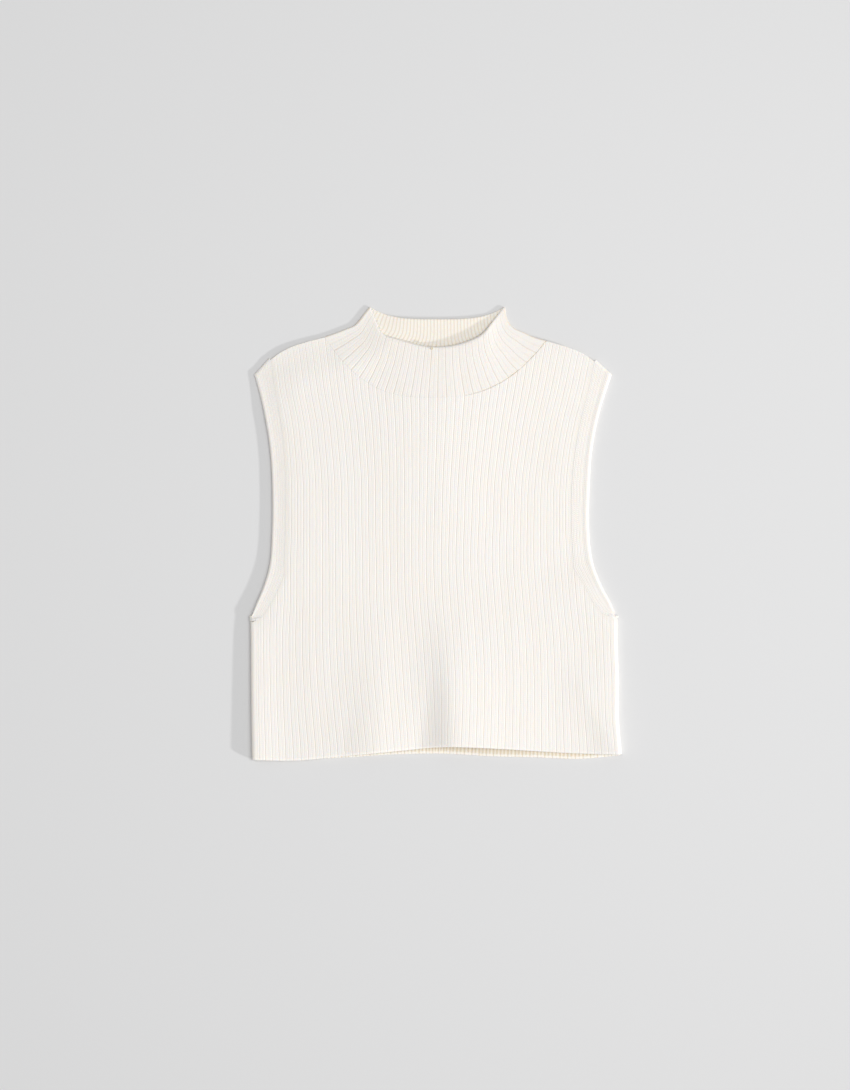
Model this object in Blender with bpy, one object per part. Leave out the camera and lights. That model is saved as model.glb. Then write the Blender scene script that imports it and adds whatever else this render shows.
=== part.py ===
"""Sleeveless rib-knit top with a mock neck, laid flat with its front up.

Every size is in millimetres until a mesh is made, which is in metres. X runs across the top, Y from the
hem to the collar and Z up from the surface that the top lies on. Two plain-backed walls of knit lie on each
other, a back and a front, and a flattened collar ring and two flattened armhole rings close the openings.
The ribs run from the hem to the neck seam and on into the collar.
"""

from collections import namedtuple
from math import cos, pi, sin

import bmesh
import bpy
import numpy as np

METRES = 0.001

# Driving sizes, in millimetres.
WALL = 2.2  # thickness of the knit between its ribs' grooves and its plain side
RIB_HEIGHT = 1.0
SEAM_GAP = 0.3
LAY = WALL + SEAM_GAP  # where the front's plain side lies over the back
EDGE_THICKNESS = 0.55  # share of the wall that is left at an edge
EDGE_RIB = 0.4  # share of a rib's height that is left at an edge
SIDE_RIBS = 26  # ribs on each side of the centre groove, at the hem
YOKE_RIBS = 21  # ribs on each side that run on between the armholes
NECK_RIBS_LEFT = 12
NECK_RIBS_RIGHT = 14
RIB_SHOULDERS = (0.28, 0.72)  # where across a rib its full height starts and ends

# Rib lines at heights above the hem. Ribs stand closer together towards the sides, by the crowding.
Section = namedtuple("Section", "height centre left_yoke right_yoke left_side right_side crowding")
SECTIONS = (
    Section(-10, -1.7, -175.6, 167.2, -204.6, 207.2, 1.06),
    Section(45, -2.2, -174.3, 165.5, -205.4, 202.4, 1.07),
    Section(89, -3.8, -172.6, 162.6, -205.9, 202.4, 1.07),
    Section(134, -6.4, -171.0, 160.0, -206.2, 200.8, 1.08),
    Section(178, -9.8, -168.7, 156.8, -207.0, 201.0, 1.09),
    Section(222, -11.4, -166.8, 153.4, -207.0, 201.0, 1.11),
    Section(267, -10.9, -166.3, 152.6, -207.0, 201.0, 1.14),
    Section(311, -10.3, -166.6, 153.8, -207.0, 201.0, 1.17),
    Section(344, -9.7, -168.9, 156.8, -207.0, 201.0, 1.18),
    Section(378, -9.4, -173.5, 162.4, -207.0, 201.0, 1.18),
    Section(409, -9.2, -179.0, 169.4, -207.0, 201.0, 1.16),
    Section(450, -9.2, -184.6, 176.6, -207.0, 201.0, 1.15),
)

# Where the ribs outside the yoke end under the arm, from rib 21 out to the side.
UNDERARM_LEFT = (206, 189, 174.5, 162, 156.5, 154)
UNDERARM_RIGHT = (213, 196, 175.5, 163.5, 160.5, 157.5)

# The armholes' free edges, from the underarm up to the shoulder tip.
EdgePoint = namedtuple("EdgePoint", "height left right")
ARMHOLE_EDGE = (
    EdgePoint(161.0, -204.8, 198.8),
    EdgePoint(173.0, -200.4, 194.6),
    EdgePoint(192.0, -192.4, 184.6),
    EdgePoint(216.0, -185.6, 174.8),
    EdgePoint(256.0, -182.6, 169.2),
    EdgePoint(300.0, -182.4, 169.8),
    EdgePoint(344.0, -184.8, 172.8),
    EdgePoint(378.0, -190.0, 179.0),
    EdgePoint(405.0, -195.8, 186.6),
    EdgePoint(425.6, -201.4, 193.6),
)

# The front's hem lifts towards the middle, where a fold draws it up, and shows the back's hem under it.
HemPoint = namedtuple("HemPoint", "across front back")
HEM = (
    HemPoint(-206, 0.8, 2.6),
    HemPoint(-158, 0.0, 1.6),
    HemPoint(-100, 5.4, 3.8),
    HemPoint(-44, 10.6, 7.2),
    HemPoint(12, 15.4, 7.8),
    HemPoint(60, 13.8, 5.0),
    HemPoint(110, 10.6, 3.8),
    HemPoint(158, 8.0, 2.2),
    HemPoint(208, 7.0, 6.4),
)

# Shoulders and neck.
NECK_POINT_LEFT_HEIGHT = 468.5
NECK_POINT_RIGHT_HEIGHT = 465.5
SHOULDER_DROP = 22.5  # from the neck point to the armhole band
SHOULDER_CURVE = 1.35
NECK_CENTRE = -7.0
NECK_DROP = 63.0
NECK_CURVE_LEFT = 3.2
NECK_CURVE_RIGHT = 2.8
BACK_NECK_DROP = 14.0
BACK_NECK_CURVE = 2.0
COLLAR_START = 1.0  # from the neck points up to the ends of the collar's seam
COLLAR_START_CURVE = 4  # how close to its ends the seam's gap widens to that

# The collar's folded sides, from the neck point to its tip.
FoldPoint = namedtuple("FoldPoint", "share left_across left_up right_across right_up")
COLLAR_FOLDS = (
    FoldPoint(0.35, -98.0, 480.0, 99.0, 473.5),
    FoldPoint(0.7, -82.6, 493.0, 81.6, 487.5),
    FoldPoint(1.0, -73.0, 503.0, 74.6, 503.0),
)
# The collar's front top edge, from its left tip to its right one.
COLLAR_FRONT_EDGE = (
    (-73.0, 503.0),
    (-66.6, 487.0),
    (-60.0, 473.6),
    (-42.0, 467.0),
    (-10.0, 459.0),
    (20.0, 460.6),
    (48.0, 471.0),
    (63.0, 488.0),
    (74.6, 503.0),
)
COLLAR_BACK_DIP = 13.0
COLLAR_BACK_CURVE = 2.6
MOUTH_LIFT = 7.5  # how far the collar's front edge stands off its back
MOUTH_ARCH = 0.42  # share of the collar's width over which its front edge rises
COLLAR_RIB_HEIGHT = 0.8
FOLD_STEPS = 4

# Soft folds of the front. Each runs from its first end to its second one, and falls away to its left and
# its right as seen from the first end. The shares say where along it the full height starts and ends.
Fold = namedtuple("Fold", "x0 y0 x1 y1 height left_width right_width rise fall")
FOLDS = (
    Fold(24, -12, 10, 215, 7.0, 26, 62, -1.0, 0.15),
    Fold(-70, -12, -50, 165, 3.4, 24, 30, -1.0, 0.10),
    Fold(186, 0, 148, 150, 2.6, 24, 16, 0.2, 0.45),
    Fold(160, 235, 186, 120, 1.8, 16, 15, 0.3, 0.60),
    Fold(-150, 40, -120, 190, 1.2, 26, 26, 0.3, 0.60),
    Fold(-12, 90, -8, 440, 2.4, 80, 80, 0.55, 0.70),
)
SIDE_FADE = 26.0  # how far in from the sides a fold has its full height

# Where the rows of the walls lie, as shares of the way up, with a row for the rounding at each free edge.
# The ribs that end under the arm have their last rows close together for that.
BODY_ROWS = (0, 0.012, 0.11, 0.22, 0.33, 0.44, 0.55, 0.66, 0.77, 0.885, 1)
UNDERARM_ROWS = BODY_ROWS[:-2] + (0.985, 1)
YOKE_ROWS = (0.14, 0.28, 0.42, 0.56, 0.70, 0.84, 0.988, 1)
COLLAR_ROWS = (0, 0.04, 0.26, 0.5, 0.75, 0.96, 1)

# Across an armhole band, from its seam to its free edge, with the thickness as a share of the wall. The free
# edge is rolled.
BandPoint = namedtuple("BandPoint", "across thickness")
BAND_PROFILE = (
    BandPoint(0.0, 0.0),
    BandPoint(0.0, 0.7),
    BandPoint(0.12, 1.0),
    BandPoint(0.58, 0.96),
    BandPoint(0.76, 1.2),
    BandPoint(0.93, 1.1),
    BandPoint(1.0, 0.5),
    BandPoint(0.97, 0.0),
)
BAND_STEPS = 26

CURVE_SAMPLES = 60  # on a curve whose length is measured
MEET_STEPS = 12  # halvings of the distance to a line that a rib meets


# ---------------------------------------------------------------- curves

def smooth_through(places, values):
    """A smooth curve through the values, as a function of the place."""
    places = np.asarray(places, float)
    values = np.asarray(values, float)
    slopes = np.gradient(values, places, axis=0)

    def value(place):
        i = int(np.clip(np.searchsorted(places, place) - 1, 0, len(places) - 2))
        step = places[i + 1] - places[i]
        t = (place - places[i]) / step
        start = (1 + 2 * t) * (1 - t) ** 2 * values[i] + t * (1 - t) ** 2 * step * slopes[i]
        end = t * t * (3 - 2 * t) * values[i + 1] - t * t * (1 - t) * step * slopes[i + 1]
        return start + end

    return value


def along(points):
    """A polyline's points as a function of the share of its length."""
    points = np.asarray(points, float)
    lengths = np.concatenate([[0], np.cumsum(np.linalg.norm(np.diff(points, axis=0), axis=1))])
    shares = lengths / lengths[-1]

    def point(share):
        return np.array([np.interp(share, shares, points[:, k]) for k in range(points.shape[1])])

    return point


def column(table, name):
    return [getattr(row, name) for row in table]


def ease(share):
    share = min(max(share, 0.0), 1.0)
    return share * share * (3 - 2 * share)


# ---------------------------------------------------------------- the flat shape

SECTION_HEIGHTS = column(SECTIONS, "height")
centre_line = smooth_through(SECTION_HEIGHTS, column(SECTIONS, "centre"))
yoke_line = {
    -1: smooth_through(SECTION_HEIGHTS, column(SECTIONS, "left_yoke")),
    1: smooth_through(SECTION_HEIGHTS, column(SECTIONS, "right_yoke")),
}
side_line = {
    -1: smooth_through(SECTION_HEIGHTS, column(SECTIONS, "left_side")),
    1: smooth_through(SECTION_HEIGHTS, column(SECTIONS, "right_side")),
}
rib_crowding = smooth_through(SECTION_HEIGHTS, column(SECTIONS, "crowding"))
armhole_line = {
    -1: smooth_through(column(ARMHOLE_EDGE, "height"), column(ARMHOLE_EDGE, "left")),
    1: smooth_through(column(ARMHOLE_EDGE, "height"), column(ARMHOLE_EDGE, "right")),
}
front_hem = smooth_through(column(HEM, "across"), column(HEM, "front"))
back_hem = smooth_through(column(HEM, "across"), column(HEM, "back"))
underarm = {-1: UNDERARM_LEFT, 1: UNDERARM_RIGHT}


def rib_x(rib, height):
    """Where the rib line with this number, counted from the centre, lies at a height."""
    side = -1 if rib < 0 else 1
    share = abs(rib) / YOKE_RIBS
    centre = centre_line(height)
    yoke = yoke_line[side](height)
    if share <= 1:
        crowding = rib_crowding(height)
        return centre + (yoke - centre) * share * (crowding - (crowding - 1) * share)
    outer = (abs(rib) - YOKE_RIBS) / (SIDE_RIBS - YOKE_RIBS)
    return yoke + (side_line[side](height) - yoke) * outer


NECK_POINT_LEFT = (rib_x(-NECK_RIBS_LEFT, NECK_POINT_LEFT_HEIGHT), NECK_POINT_LEFT_HEIGHT)
NECK_POINT_RIGHT = (rib_x(NECK_RIBS_RIGHT, NECK_POINT_RIGHT_HEIGHT), NECK_POINT_RIGHT_HEIGHT)


def neck_height(x, centre, drop, curve_left, curve_right):
    """A neck line between the two neck points, lowest at the centre."""
    point, curve = (NECK_POINT_LEFT, curve_left) if x < centre else (NECK_POINT_RIGHT, curve_right)
    share = min(abs((x - centre) / (point[0] - centre)), 1.0)
    bottom = min(NECK_POINT_LEFT[1], NECK_POINT_RIGHT[1]) - drop
    return bottom + (point[1] - bottom) * share ** curve


def shoulder_height(x):
    """The shoulder line, from a neck point down to the armhole band."""
    side = -1 if x < NECK_CENTRE else 1
    point = NECK_POINT_LEFT if side < 0 else NECK_POINT_RIGHT
    share = (x - point[0]) / (yoke_line[side](point[1] - SHOULDER_DROP) - point[0])
    return point[1] - SHOULDER_DROP * max(share, 0.0) ** SHOULDER_CURVE


def front_top(x):
    if NECK_POINT_LEFT[0] < x < NECK_POINT_RIGHT[0]:
        return neck_height(x, NECK_CENTRE, NECK_DROP, NECK_CURVE_LEFT, NECK_CURVE_RIGHT)
    return shoulder_height(x)


def back_top(x):
    if NECK_POINT_LEFT[0] < x < NECK_POINT_RIGHT[0]:
        return neck_height(x, 0.0, BACK_NECK_DROP, BACK_NECK_CURVE, BACK_NECK_CURVE)
    return shoulder_height(x)


def underarm_height(rib):
    """Where a rib passes from the body to the yoke, or ends at the armhole band."""
    if abs(rib) >= YOKE_RIBS:
        side = -1 if rib < 0 else 1
        ribs = range(YOKE_RIBS, SIDE_RIBS + 1)
        return float(np.interp(abs(rib), ribs, underarm[side]))
    share = (rib + YOKE_RIBS) / (2 * YOKE_RIBS)
    return (1 - share) * UNDERARM_LEFT[0] + share * UNDERARM_RIGHT[0]


def meet(rib, line, start):
    """The height at which a rib line meets a line that is given as a height over x."""
    height = start
    for _ in range(MEET_STEPS):
        height = 0.5 * (height + line(rib_x(rib, height)))
    return height


def rib_line_points(rib, hem, top):
    """A rib line's points from the hem up, as far as it goes."""
    bottom = meet(rib, hem, 0.0)
    middle = underarm_height(rib)
    rows = BODY_ROWS if abs(rib) <= YOKE_RIBS else UNDERARM_ROWS
    heights = [bottom + share * (middle - bottom) for share in rows]
    if abs(rib) <= YOKE_RIBS:
        end = meet(rib, top, NECK_POINT_LEFT_HEIGHT)
        heights += [middle + share * (end - middle) for share in YOKE_ROWS]
    return [(rib_x(rib, height), height) for height in heights]


# ---------------------------------------------------------------- the lie of the front

def outline_distance(x, y):
    """How far a point lies in from the sides, or from the armholes' free edges."""
    lines = armhole_line if y > ARMHOLE_EDGE[0].height else side_line
    return min(x - lines[-1](y), lines[1](y) - x)


def fold_height(fold, x, y):
    run = np.array([fold.x1 - fold.x0, fold.y1 - fold.y0])
    length = np.linalg.norm(run)
    offset = np.array([x - fold.x0, y - fold.y0])
    share = float(offset @ run) / length ** 2
    distance = float(run[0] * offset[1] - run[1] * offset[0]) / length
    width = fold.left_width if distance > 0 else fold.right_width
    rise = ease(share / fold.rise) if fold.rise > 0 else 1.0
    fall = 1 - ease((share - fold.fall) / (1 - fold.fall))
    return fold.height * rise * fall / (1 + (distance / width) ** 2) ** 2


def front_lay(x, y):
    """The height of the front's plain side over the surface."""
    fade = ease(outline_distance(x, y) / SIDE_FADE)
    return LAY + fade * sum(fold_height(fold, x, y) for fold in FOLDS)


# ---------------------------------------------------------------- meshes

def add_node(collection, name, points, faces, material):
    """A closed body from points in millimetres, with its faces turned outwards."""
    mesh = bpy.data.meshes.new(name)
    mesh.from_pydata([tuple(METRES * value for value in point) for point in points], [], faces)
    shell = bmesh.new()
    shell.from_mesh(mesh)
    bmesh.ops.recalc_face_normals(shell, faces=shell.faces)
    shell.to_mesh(mesh)
    shell.free()
    mesh.materials.append(material)
    mesh.shade_smooth()
    mesh.set_sharp_from_angle(angle=pi / 3)
    node = bpy.data.objects.new(name, mesh)
    collection.objects.link(node)
    return node


def rib_numbers(first, last):
    """The rib lines with the shoulders of each rib between them."""
    ribs = []
    for rib in range(first, last):
        ribs += [rib] + [rib + shoulder for shoulder in RIB_SHOULDERS]
    return ribs + [last]


def is_groove(rib):
    return float(rib).is_integer()


def edge_share(rib, row, last_row):
    """How far the wall is from its full thickness at an edge: 0 at the edge and 1 away from it."""
    at_side = abs(rib) == SIDE_RIBS or (abs(rib) == YOKE_RIBS and row >= len(BODY_ROWS) - 1)
    return 0.0 if at_side or row in (0, last_row) else 1.0


def wall_thickness(edge):
    """The wall's thickness for a share from 0 at an edge to 1 away from it."""
    return WALL * (EDGE_THICKNESS + (1 - EDGE_THICKNESS) * edge)


def raised(rib, full_height, edge):
    """How far a rib stands off its grooves, less at an edge."""
    return 0.0 if is_groove(rib) else full_height * (EDGE_RIB + (1 - EDGE_RIB) * edge)


class Wall:
    """A wall between a fine side and a plain one, made rib by rib on rows that follow the hem."""

    def __init__(self, ribs, hem, top, fine_side, plain_side):
        self.ribs = ribs
        self.points = []
        self.fine = {}
        self.plain = {}
        for i, rib in enumerate(ribs):
            line = rib_line_points(rib, hem, top)
            for j, (x, y) in enumerate(line):
                edge = edge_share(rib, j, len(line) - 1)
                self.fine[i, j] = self.add(x, y, fine_side(rib, x, y, edge))
                if is_groove(rib):
                    self.plain[i, j] = self.add(x, y, plain_side(x, y))
        self.grooves = [i for i, rib in enumerate(ribs) if is_groove(rib)]

    def add(self, x, y, z):
        self.points.append((x, y, z))
        return len(self.points) - 1

    def skin(self, side, columns):
        """The faces of one side, where all four corners are there."""
        faces = []
        for left, right in zip(columns, columns[1:]):
            for row in range(len(BODY_ROWS) + len(YOKE_ROWS) - 1):
                corners = [(left, row), (right, row), (right, row + 1), (left, row + 1)]
                if all(corner in side for corner in corners):
                    faces.append([side[corner] for corner in corners])
        return faces

    def border(self):
        """The plain side's corners all round: up the right side, over the top and down the left side."""
        body, top = len(BODY_ROWS) - 1, len(BODY_ROWS) + len(YOKE_ROWS) - 1
        right_yoke = self.ribs.index(YOKE_RIBS)
        left_yoke = self.ribs.index(-YOKE_RIBS)
        first, last = 0, len(self.ribs) - 1
        path = [(i, 0) for i in self.grooves]
        path += [(last, row) for row in range(1, body)]
        path += [(i, body) for i in reversed(self.grooves) if i >= right_yoke]
        path += [(right_yoke, row) for row in range(body + 1, top)]
        path += [(i, top) for i in reversed(self.grooves) if left_yoke <= i <= right_yoke]
        path += [(left_yoke, row) for row in range(top - 1, body, -1)]
        path += [(i, body) for i in reversed(self.grooves) if i <= left_yoke]
        path += [(first, row) for row in range(body - 1, 0, -1)]
        return path

    def rim(self):
        """The faces that close the wall all round its border."""
        path = self.border()
        faces = []
        for start, end in zip(path, path[1:] + path[:1]):
            step = 1 if end[0] > start[0] else -1
            between = [(i, start[1]) for i in range(start[0] + step, end[0], step)]
            outside = [start] + (between if start[0] != end[0] else []) + [end]
            faces.append([self.plain[start], self.plain[end]] + [self.fine[c] for c in reversed(outside)])
        return faces

    def faces(self):
        fine_columns = list(range(len(self.ribs)))
        plain = [list(reversed(face)) for face in self.skin(self.plain, self.grooves)]
        return self.skin(self.fine, fine_columns) + plain + self.rim()


def front_wall():
    def ribbed(rib, x, y, edge):
        return front_lay(x, y) + wall_thickness(edge) + raised(rib, RIB_HEIGHT, edge)

    return Wall(rib_numbers(-SIDE_RIBS, SIDE_RIBS), front_hem, front_top, ribbed, front_lay)


def back_wall():
    """The back lies on the surface, so it is plain on both sides. Its edges turn up a little."""

    def underside(rib, x, y, edge):
        return WALL - wall_thickness(edge)

    def inside(x, y):
        return WALL

    outer_ribs = list(range(YOKE_RIBS, SIDE_RIBS + 1))
    inner_ribs = list(range(-YOKE_RIBS + 1, YOKE_RIBS, 2))
    ribs = [-rib for rib in reversed(outer_ribs)] + inner_ribs + outer_ribs
    return Wall(ribs, back_hem, back_top, underside, inside)


def moved_aside(points, distance):
    """A polyline moved to its left in plan, or to its right by a negative distance."""
    points = np.array(points, float)
    directions = np.gradient(points, axis=0)
    normals = np.stack([-directions[:, 1], directions[:, 0]], axis=1)
    return points + distance * normals / np.linalg.norm(normals, axis=1, keepdims=True)


def armhole_band(collection, name, side, material):
    """A knit strip round the armhole, folded flat over itself at the shoulder tip and the underarm."""
    seam = [(rib_x(side * rib, height), height)
            for rib, height in zip(range(SIDE_RIBS, YOKE_RIBS, -1), reversed(underarm[side]))]
    start = WALL / abs(seam[1][0] - seam[0][0])  # leaves room for the turn at the side
    seam[0] = tuple((1 - start) * np.array(seam[0]) + start * np.array(seam[1]))
    yoke = rib_line_points(side * YOKE_RIBS, front_hem, front_top)[len(BODY_ROWS) - 1:]
    seam_at = along(moved_aside(seam + yoke, -side * SEAM_GAP))
    heights = np.linspace(ARMHOLE_EDGE[0].height, ARMHOLE_EDGE[-1].height, CURVE_SAMPLES)
    free_at = along([(armhole_line[side](height), height) for height in heights])

    def strip(share, back):
        """A section across the strip: its places in plan, on the front or on the back."""
        inner, outer = seam_at(share), free_at(share)
        points = []
        for across, thickness in BAND_PROFILE:
            x, y = inner + across * (outer - inner)
            if back:
                points.append((x, y, WALL - WALL * min(thickness, 1.0)))
            else:
                points.append((x, y, front_lay(x, y) + WALL * thickness))
        return points

    def fold(share, outward, angle):
        """A section where the strip turns over from the front to the back."""
        inner, outer = seam_at(share), free_at(share)
        points = []
        for across, thickness in BAND_PROFILE:
            radius = SEAM_GAP / 2 + WALL * min(thickness, 1.0)
            x, y = inner + across * (outer - inner) + radius * sin(angle) * outward
            points.append((x, y, WALL + SEAM_GAP / 2 + radius * cos(angle)))
        return points

    def square_to(share):
        """The way out of the strip's end, square to its fold."""
        across = free_at(share) - seam_at(share)
        square = np.array([across[1], -across[0]]) / np.linalg.norm(across)
        ahead = seam_at(1) - seam_at(0)
        out = 1 if share == 1 else -1
        return square if (square @ ahead) * out > 0 else -square

    shares = np.linspace(0, 1, BAND_STEPS + 1)
    angles = [pi * step / FOLD_STEPS for step in range(1, FOLD_STEPS)]
    sections = [strip(share, False) for share in shares]
    sections += [fold(1, square_to(1), angle) for angle in angles]
    sections += [strip(share, True) for share in reversed(shares)]
    sections += [fold(0, square_to(0), angle) for angle in reversed(angles)]
    points = [point for section in sections for point in section]
    size = len(BAND_PROFILE)
    faces = []
    for i in range(len(sections)):
        after = (i + 1) % len(sections)
        for k in range(size):
            beside = (k + 1) % size
            faces.append([i * size + k, after * size + k, after * size + beside, i * size + beside])
    return add_node(collection, name, points, faces, material)


# ---------------------------------------------------------------- the collar

def fold_line(side):
    """A folded side of the collar, from the neck point to its tip."""
    neck_x, neck_y = NECK_POINT_LEFT if side < 0 else NECK_POINT_RIGHT
    start = (neck_x, neck_y + COLLAR_START)
    across = column(COLLAR_FOLDS, "left_across" if side < 0 else "right_across")
    up = column(COLLAR_FOLDS, "left_up" if side < 0 else "right_up")
    shares = [0.0] + column(COLLAR_FOLDS, "share")
    points = [start] + list(zip(across, up))
    return smooth_through(shares, points)


def patch(bottom, top, left, right):
    """A sheet between four edges, each a function of a share from 0 to 1."""

    def point(s, t):
        sides = (1 - s) * left(t) + s * right(t)
        ends = (1 - t) * bottom(s) + t * top(s)
        corners = (1 - t) * ((1 - s) * bottom(0) + s * bottom(1)) + t * ((1 - s) * top(0) + s * top(1))
        return sides + ends - corners

    return point


def collar_patches():
    """The collar's front and back in plan."""
    left, right = fold_line(-1), fold_line(1)
    ribs = NECK_RIBS_LEFT + NECK_RIBS_RIGHT

    def seam(top):
        def point(share):
            rib = share * ribs - NECK_RIBS_LEFT
            height = meet(rib, top, NECK_POINT_LEFT_HEIGHT)
            gap = SEAM_GAP + (COLLAR_START - SEAM_GAP) * abs(2 * share - 1) ** COLLAR_START_CURVE
            return np.array([rib_x(rib, height), height + gap])
        return point

    edge_shares = np.linspace(0, 1, len(COLLAR_FRONT_EDGE))
    edge = smooth_through(edge_shares, COLLAR_FRONT_EDGE)
    front_edge = along([edge(share) for share in np.linspace(0, 1, CURVE_SAMPLES)])
    tip_left, tip_right = left(1), right(1)

    def back_edge(share):
        dip = COLLAR_BACK_DIP * (1 - abs(2 * share - 1) ** COLLAR_BACK_CURVE)
        return (1 - share) * tip_left + share * tip_right - np.array([0, dip])

    front = patch(seam(front_top), front_edge, left, right)
    back = patch(seam(back_top), back_edge, left, right)
    return front, back


def mouth_arch(share):
    """How far the mouth is open across the collar, from 0 at its folds to 1 in the middle."""
    return ease(min(share, 1 - share) / MOUTH_ARCH)


def collar(collection, name, material):
    """One flattened ring of ribbed knit, with a fold at each side."""
    front, back = collar_patches()
    ribs = rib_numbers(0, NECK_RIBS_LEFT + NECK_RIBS_RIGHT)
    shares = [rib / ribs[-1] for rib in ribs]
    grooves = [share for rib, share in zip(ribs, shares) if is_groove(rib)]
    angles = [pi * step / FOLD_STEPS for step in range(1, FOLD_STEPS)]

    def lift(s, t):
        """How high the front's plain side lies, from the neck seam to the free edge."""
        x, y = front(s, 0)
        return front_lay(x, y) * (1 - t) + (LAY + MOUTH_LIFT * mouth_arch(s)) * t

    def row_points(t):
        edge = 0.0 if t in (0, 1) else 1.0
        thickness = wall_thickness(edge)
        heights = [raised(rib, COLLAR_RIB_HEIGHT, edge) for rib in ribs]
        outer = [(*front(s, t), lift(s, t) + thickness + height) for s, height in zip(shares, heights)]
        inner = [(*front(s, t), lift(s, t)) for s in grooves]
        under = [(*back(s, t), WALL - thickness) for s in grooves]
        shown = [(*back(s, t), WALL + mouth_arch(s) ** 0.5 * height) for s, height in zip(shares, heights)]
        turns = {}
        for end in (0, 1):
            x, y = front(end, t)
            out = 1 if end else -1
            turns[end] = [
                (x + out * (SEAM_GAP / 2 + thickness) * sin(angle), y,
                 WALL + SEAM_GAP / 2 + (SEAM_GAP / 2 + thickness) * cos(angle))
                for angle in angles
            ]
        return outer + turns[1] + under[::-1] + turns[0][::-1], inner + shown[::-1]

    rows = [row_points(t) for t in COLLAR_ROWS]
    outside_size, inside_size = len(rows[0][0]), len(rows[0][1])
    size = outside_size + inside_size
    points = [point for outside, inside in rows for point in outside + inside]

    def ring_faces(offset, count):
        faces = []
        for row in range(len(rows) - 1):
            low, high = row * size + offset, (row + 1) * size + offset
            for k in range(count):
                beside = (k + 1) % count
                faces.append([low + k, low + beside, high + beside, high + k])
        return faces

    def rim_faces(row):
        """Closes the ring's end, a rib at a time on the front and the back, and once at each fold."""
        start = row * size
        outside = [start + k for k in range(outside_size)]
        inside = [start + outside_size + k for k in range(inside_size)]
        fine, plain, turn = len(ribs), len(grooves), len(angles)
        step = len(RIB_SHOULDERS) + 1
        faces = []
        for k in range(plain - 1):
            faces.append(outside[k * step:k * step + step + 1] + [inside[k + 1], inside[k]])
        for k in range(plain - 1):
            under = outside[fine + turn + k:fine + turn + k + 2]
            shown = inside[plain + k * step:plain + k * step + step + 1]
            faces.append(under + shown[::-1])
        faces.append(outside[fine - 1:fine + turn + 1] + [inside[plain], inside[plain - 1]])
        faces.append(outside[fine + turn + plain - 1:] + [outside[0], inside[0], inside[-1]])
        return faces

    faces = ring_faces(0, outside_size) + ring_faces(outside_size, inside_size)
    faces += rim_faces(0) + rim_faces(len(rows) - 1)
    return add_node(collection, name, points, faces, material)


# ---------------------------------------------------------------- material and scene

def knit_material():
    material = bpy.data.materials.new("cream_rib_knit")
    material.use_nodes = True
    shader = material.node_tree.nodes["Principled BSDF"]
    shader.inputs["Base Color"].default_value = (0.88, 0.85, 0.79, 1)
    shader.inputs["Roughness"].default_value = 0.9
    shader.inputs["Metallic"].default_value = 0.0
    return material


def centre_on_origin(nodes):
    """Moves the meshes so that the origin is under the middle of the whole top."""
    corners = np.array([vertex.co for node in nodes for vertex in node.data.vertices])
    middle = (corners.min(axis=0) + corners.max(axis=0)) / 2
    for node in nodes:
        for vertex in node.data.vertices:
            vertex.co.x -= middle[0]
            vertex.co.y -= middle[1]


def main():
    for old in list(bpy.data.objects):
        bpy.data.objects.remove(old, do_unlink=True)
    collection = bpy.data.collections.new("sleeveless_knit_top")
    bpy.context.scene.collection.children.link(collection)
    knit = knit_material()
    nodes = []
    for name, wall in (("front_panel", front_wall()), ("back_panel", back_wall())):
        nodes.append(add_node(collection, name, wall.points, wall.faces(), knit))
    nodes.append(collar(collection, "collar", knit))
    nodes.append(armhole_band(collection, "armhole_band_left", -1, knit))
    nodes.append(armhole_band(collection, "armhole_band_right", 1, knit))
    centre_on_origin(nodes)


main()
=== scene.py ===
"""The looks of a sleeveless rib-knit top that lies flat with its front up.

Sizes are in millimetres until a mesh is made, and in the pattern's own axes: X across, Y up from the hem and
Z up from the surface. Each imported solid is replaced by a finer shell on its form: two columns of stitches on
each rib, rolled edges, softer folds and the yarn of the seams.
"""

from collections import namedtuple
from math import cos, pi, radians, sin, tau

import bmesh  # noqa: E402
import bpy  # noqa: E402
import numpy as np  # noqa: E402
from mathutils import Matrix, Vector  # noqa: E402

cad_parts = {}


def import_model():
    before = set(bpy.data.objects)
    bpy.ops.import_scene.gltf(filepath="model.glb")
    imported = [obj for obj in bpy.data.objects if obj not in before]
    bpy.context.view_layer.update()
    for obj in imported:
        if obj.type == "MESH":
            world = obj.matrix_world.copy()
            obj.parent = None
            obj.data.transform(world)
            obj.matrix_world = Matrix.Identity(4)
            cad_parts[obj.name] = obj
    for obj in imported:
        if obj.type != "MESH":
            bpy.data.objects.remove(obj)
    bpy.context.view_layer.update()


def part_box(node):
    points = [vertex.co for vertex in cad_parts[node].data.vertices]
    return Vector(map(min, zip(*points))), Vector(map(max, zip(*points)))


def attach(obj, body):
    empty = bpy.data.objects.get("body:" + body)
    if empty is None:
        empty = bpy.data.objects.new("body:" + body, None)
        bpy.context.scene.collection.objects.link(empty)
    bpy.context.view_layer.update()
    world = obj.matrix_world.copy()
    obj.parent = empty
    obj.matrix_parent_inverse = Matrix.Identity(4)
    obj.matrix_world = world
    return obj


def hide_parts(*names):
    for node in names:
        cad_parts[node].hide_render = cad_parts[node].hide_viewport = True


MM = 0.001

# ---------------------------------------------------------------- driving sizes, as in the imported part

WALL = 2.2  # thickness of the knit under its ribs
RIB_HEIGHT = 1.0
SEAM_GAP = 0.3
LAY = WALL + SEAM_GAP  # where the front's plain side lies over the back
SIDE_RIBS = 26  # ribs on each side of the centre groove, at the hem
YOKE_RIBS = 21  # ribs on each side that run on between the armholes
MEET_STEPS = 12  # halvings of the distance to a line that a rib meets
NECK_RIBS_LEFT = 12
NECK_RIBS_RIGHT = 13

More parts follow.
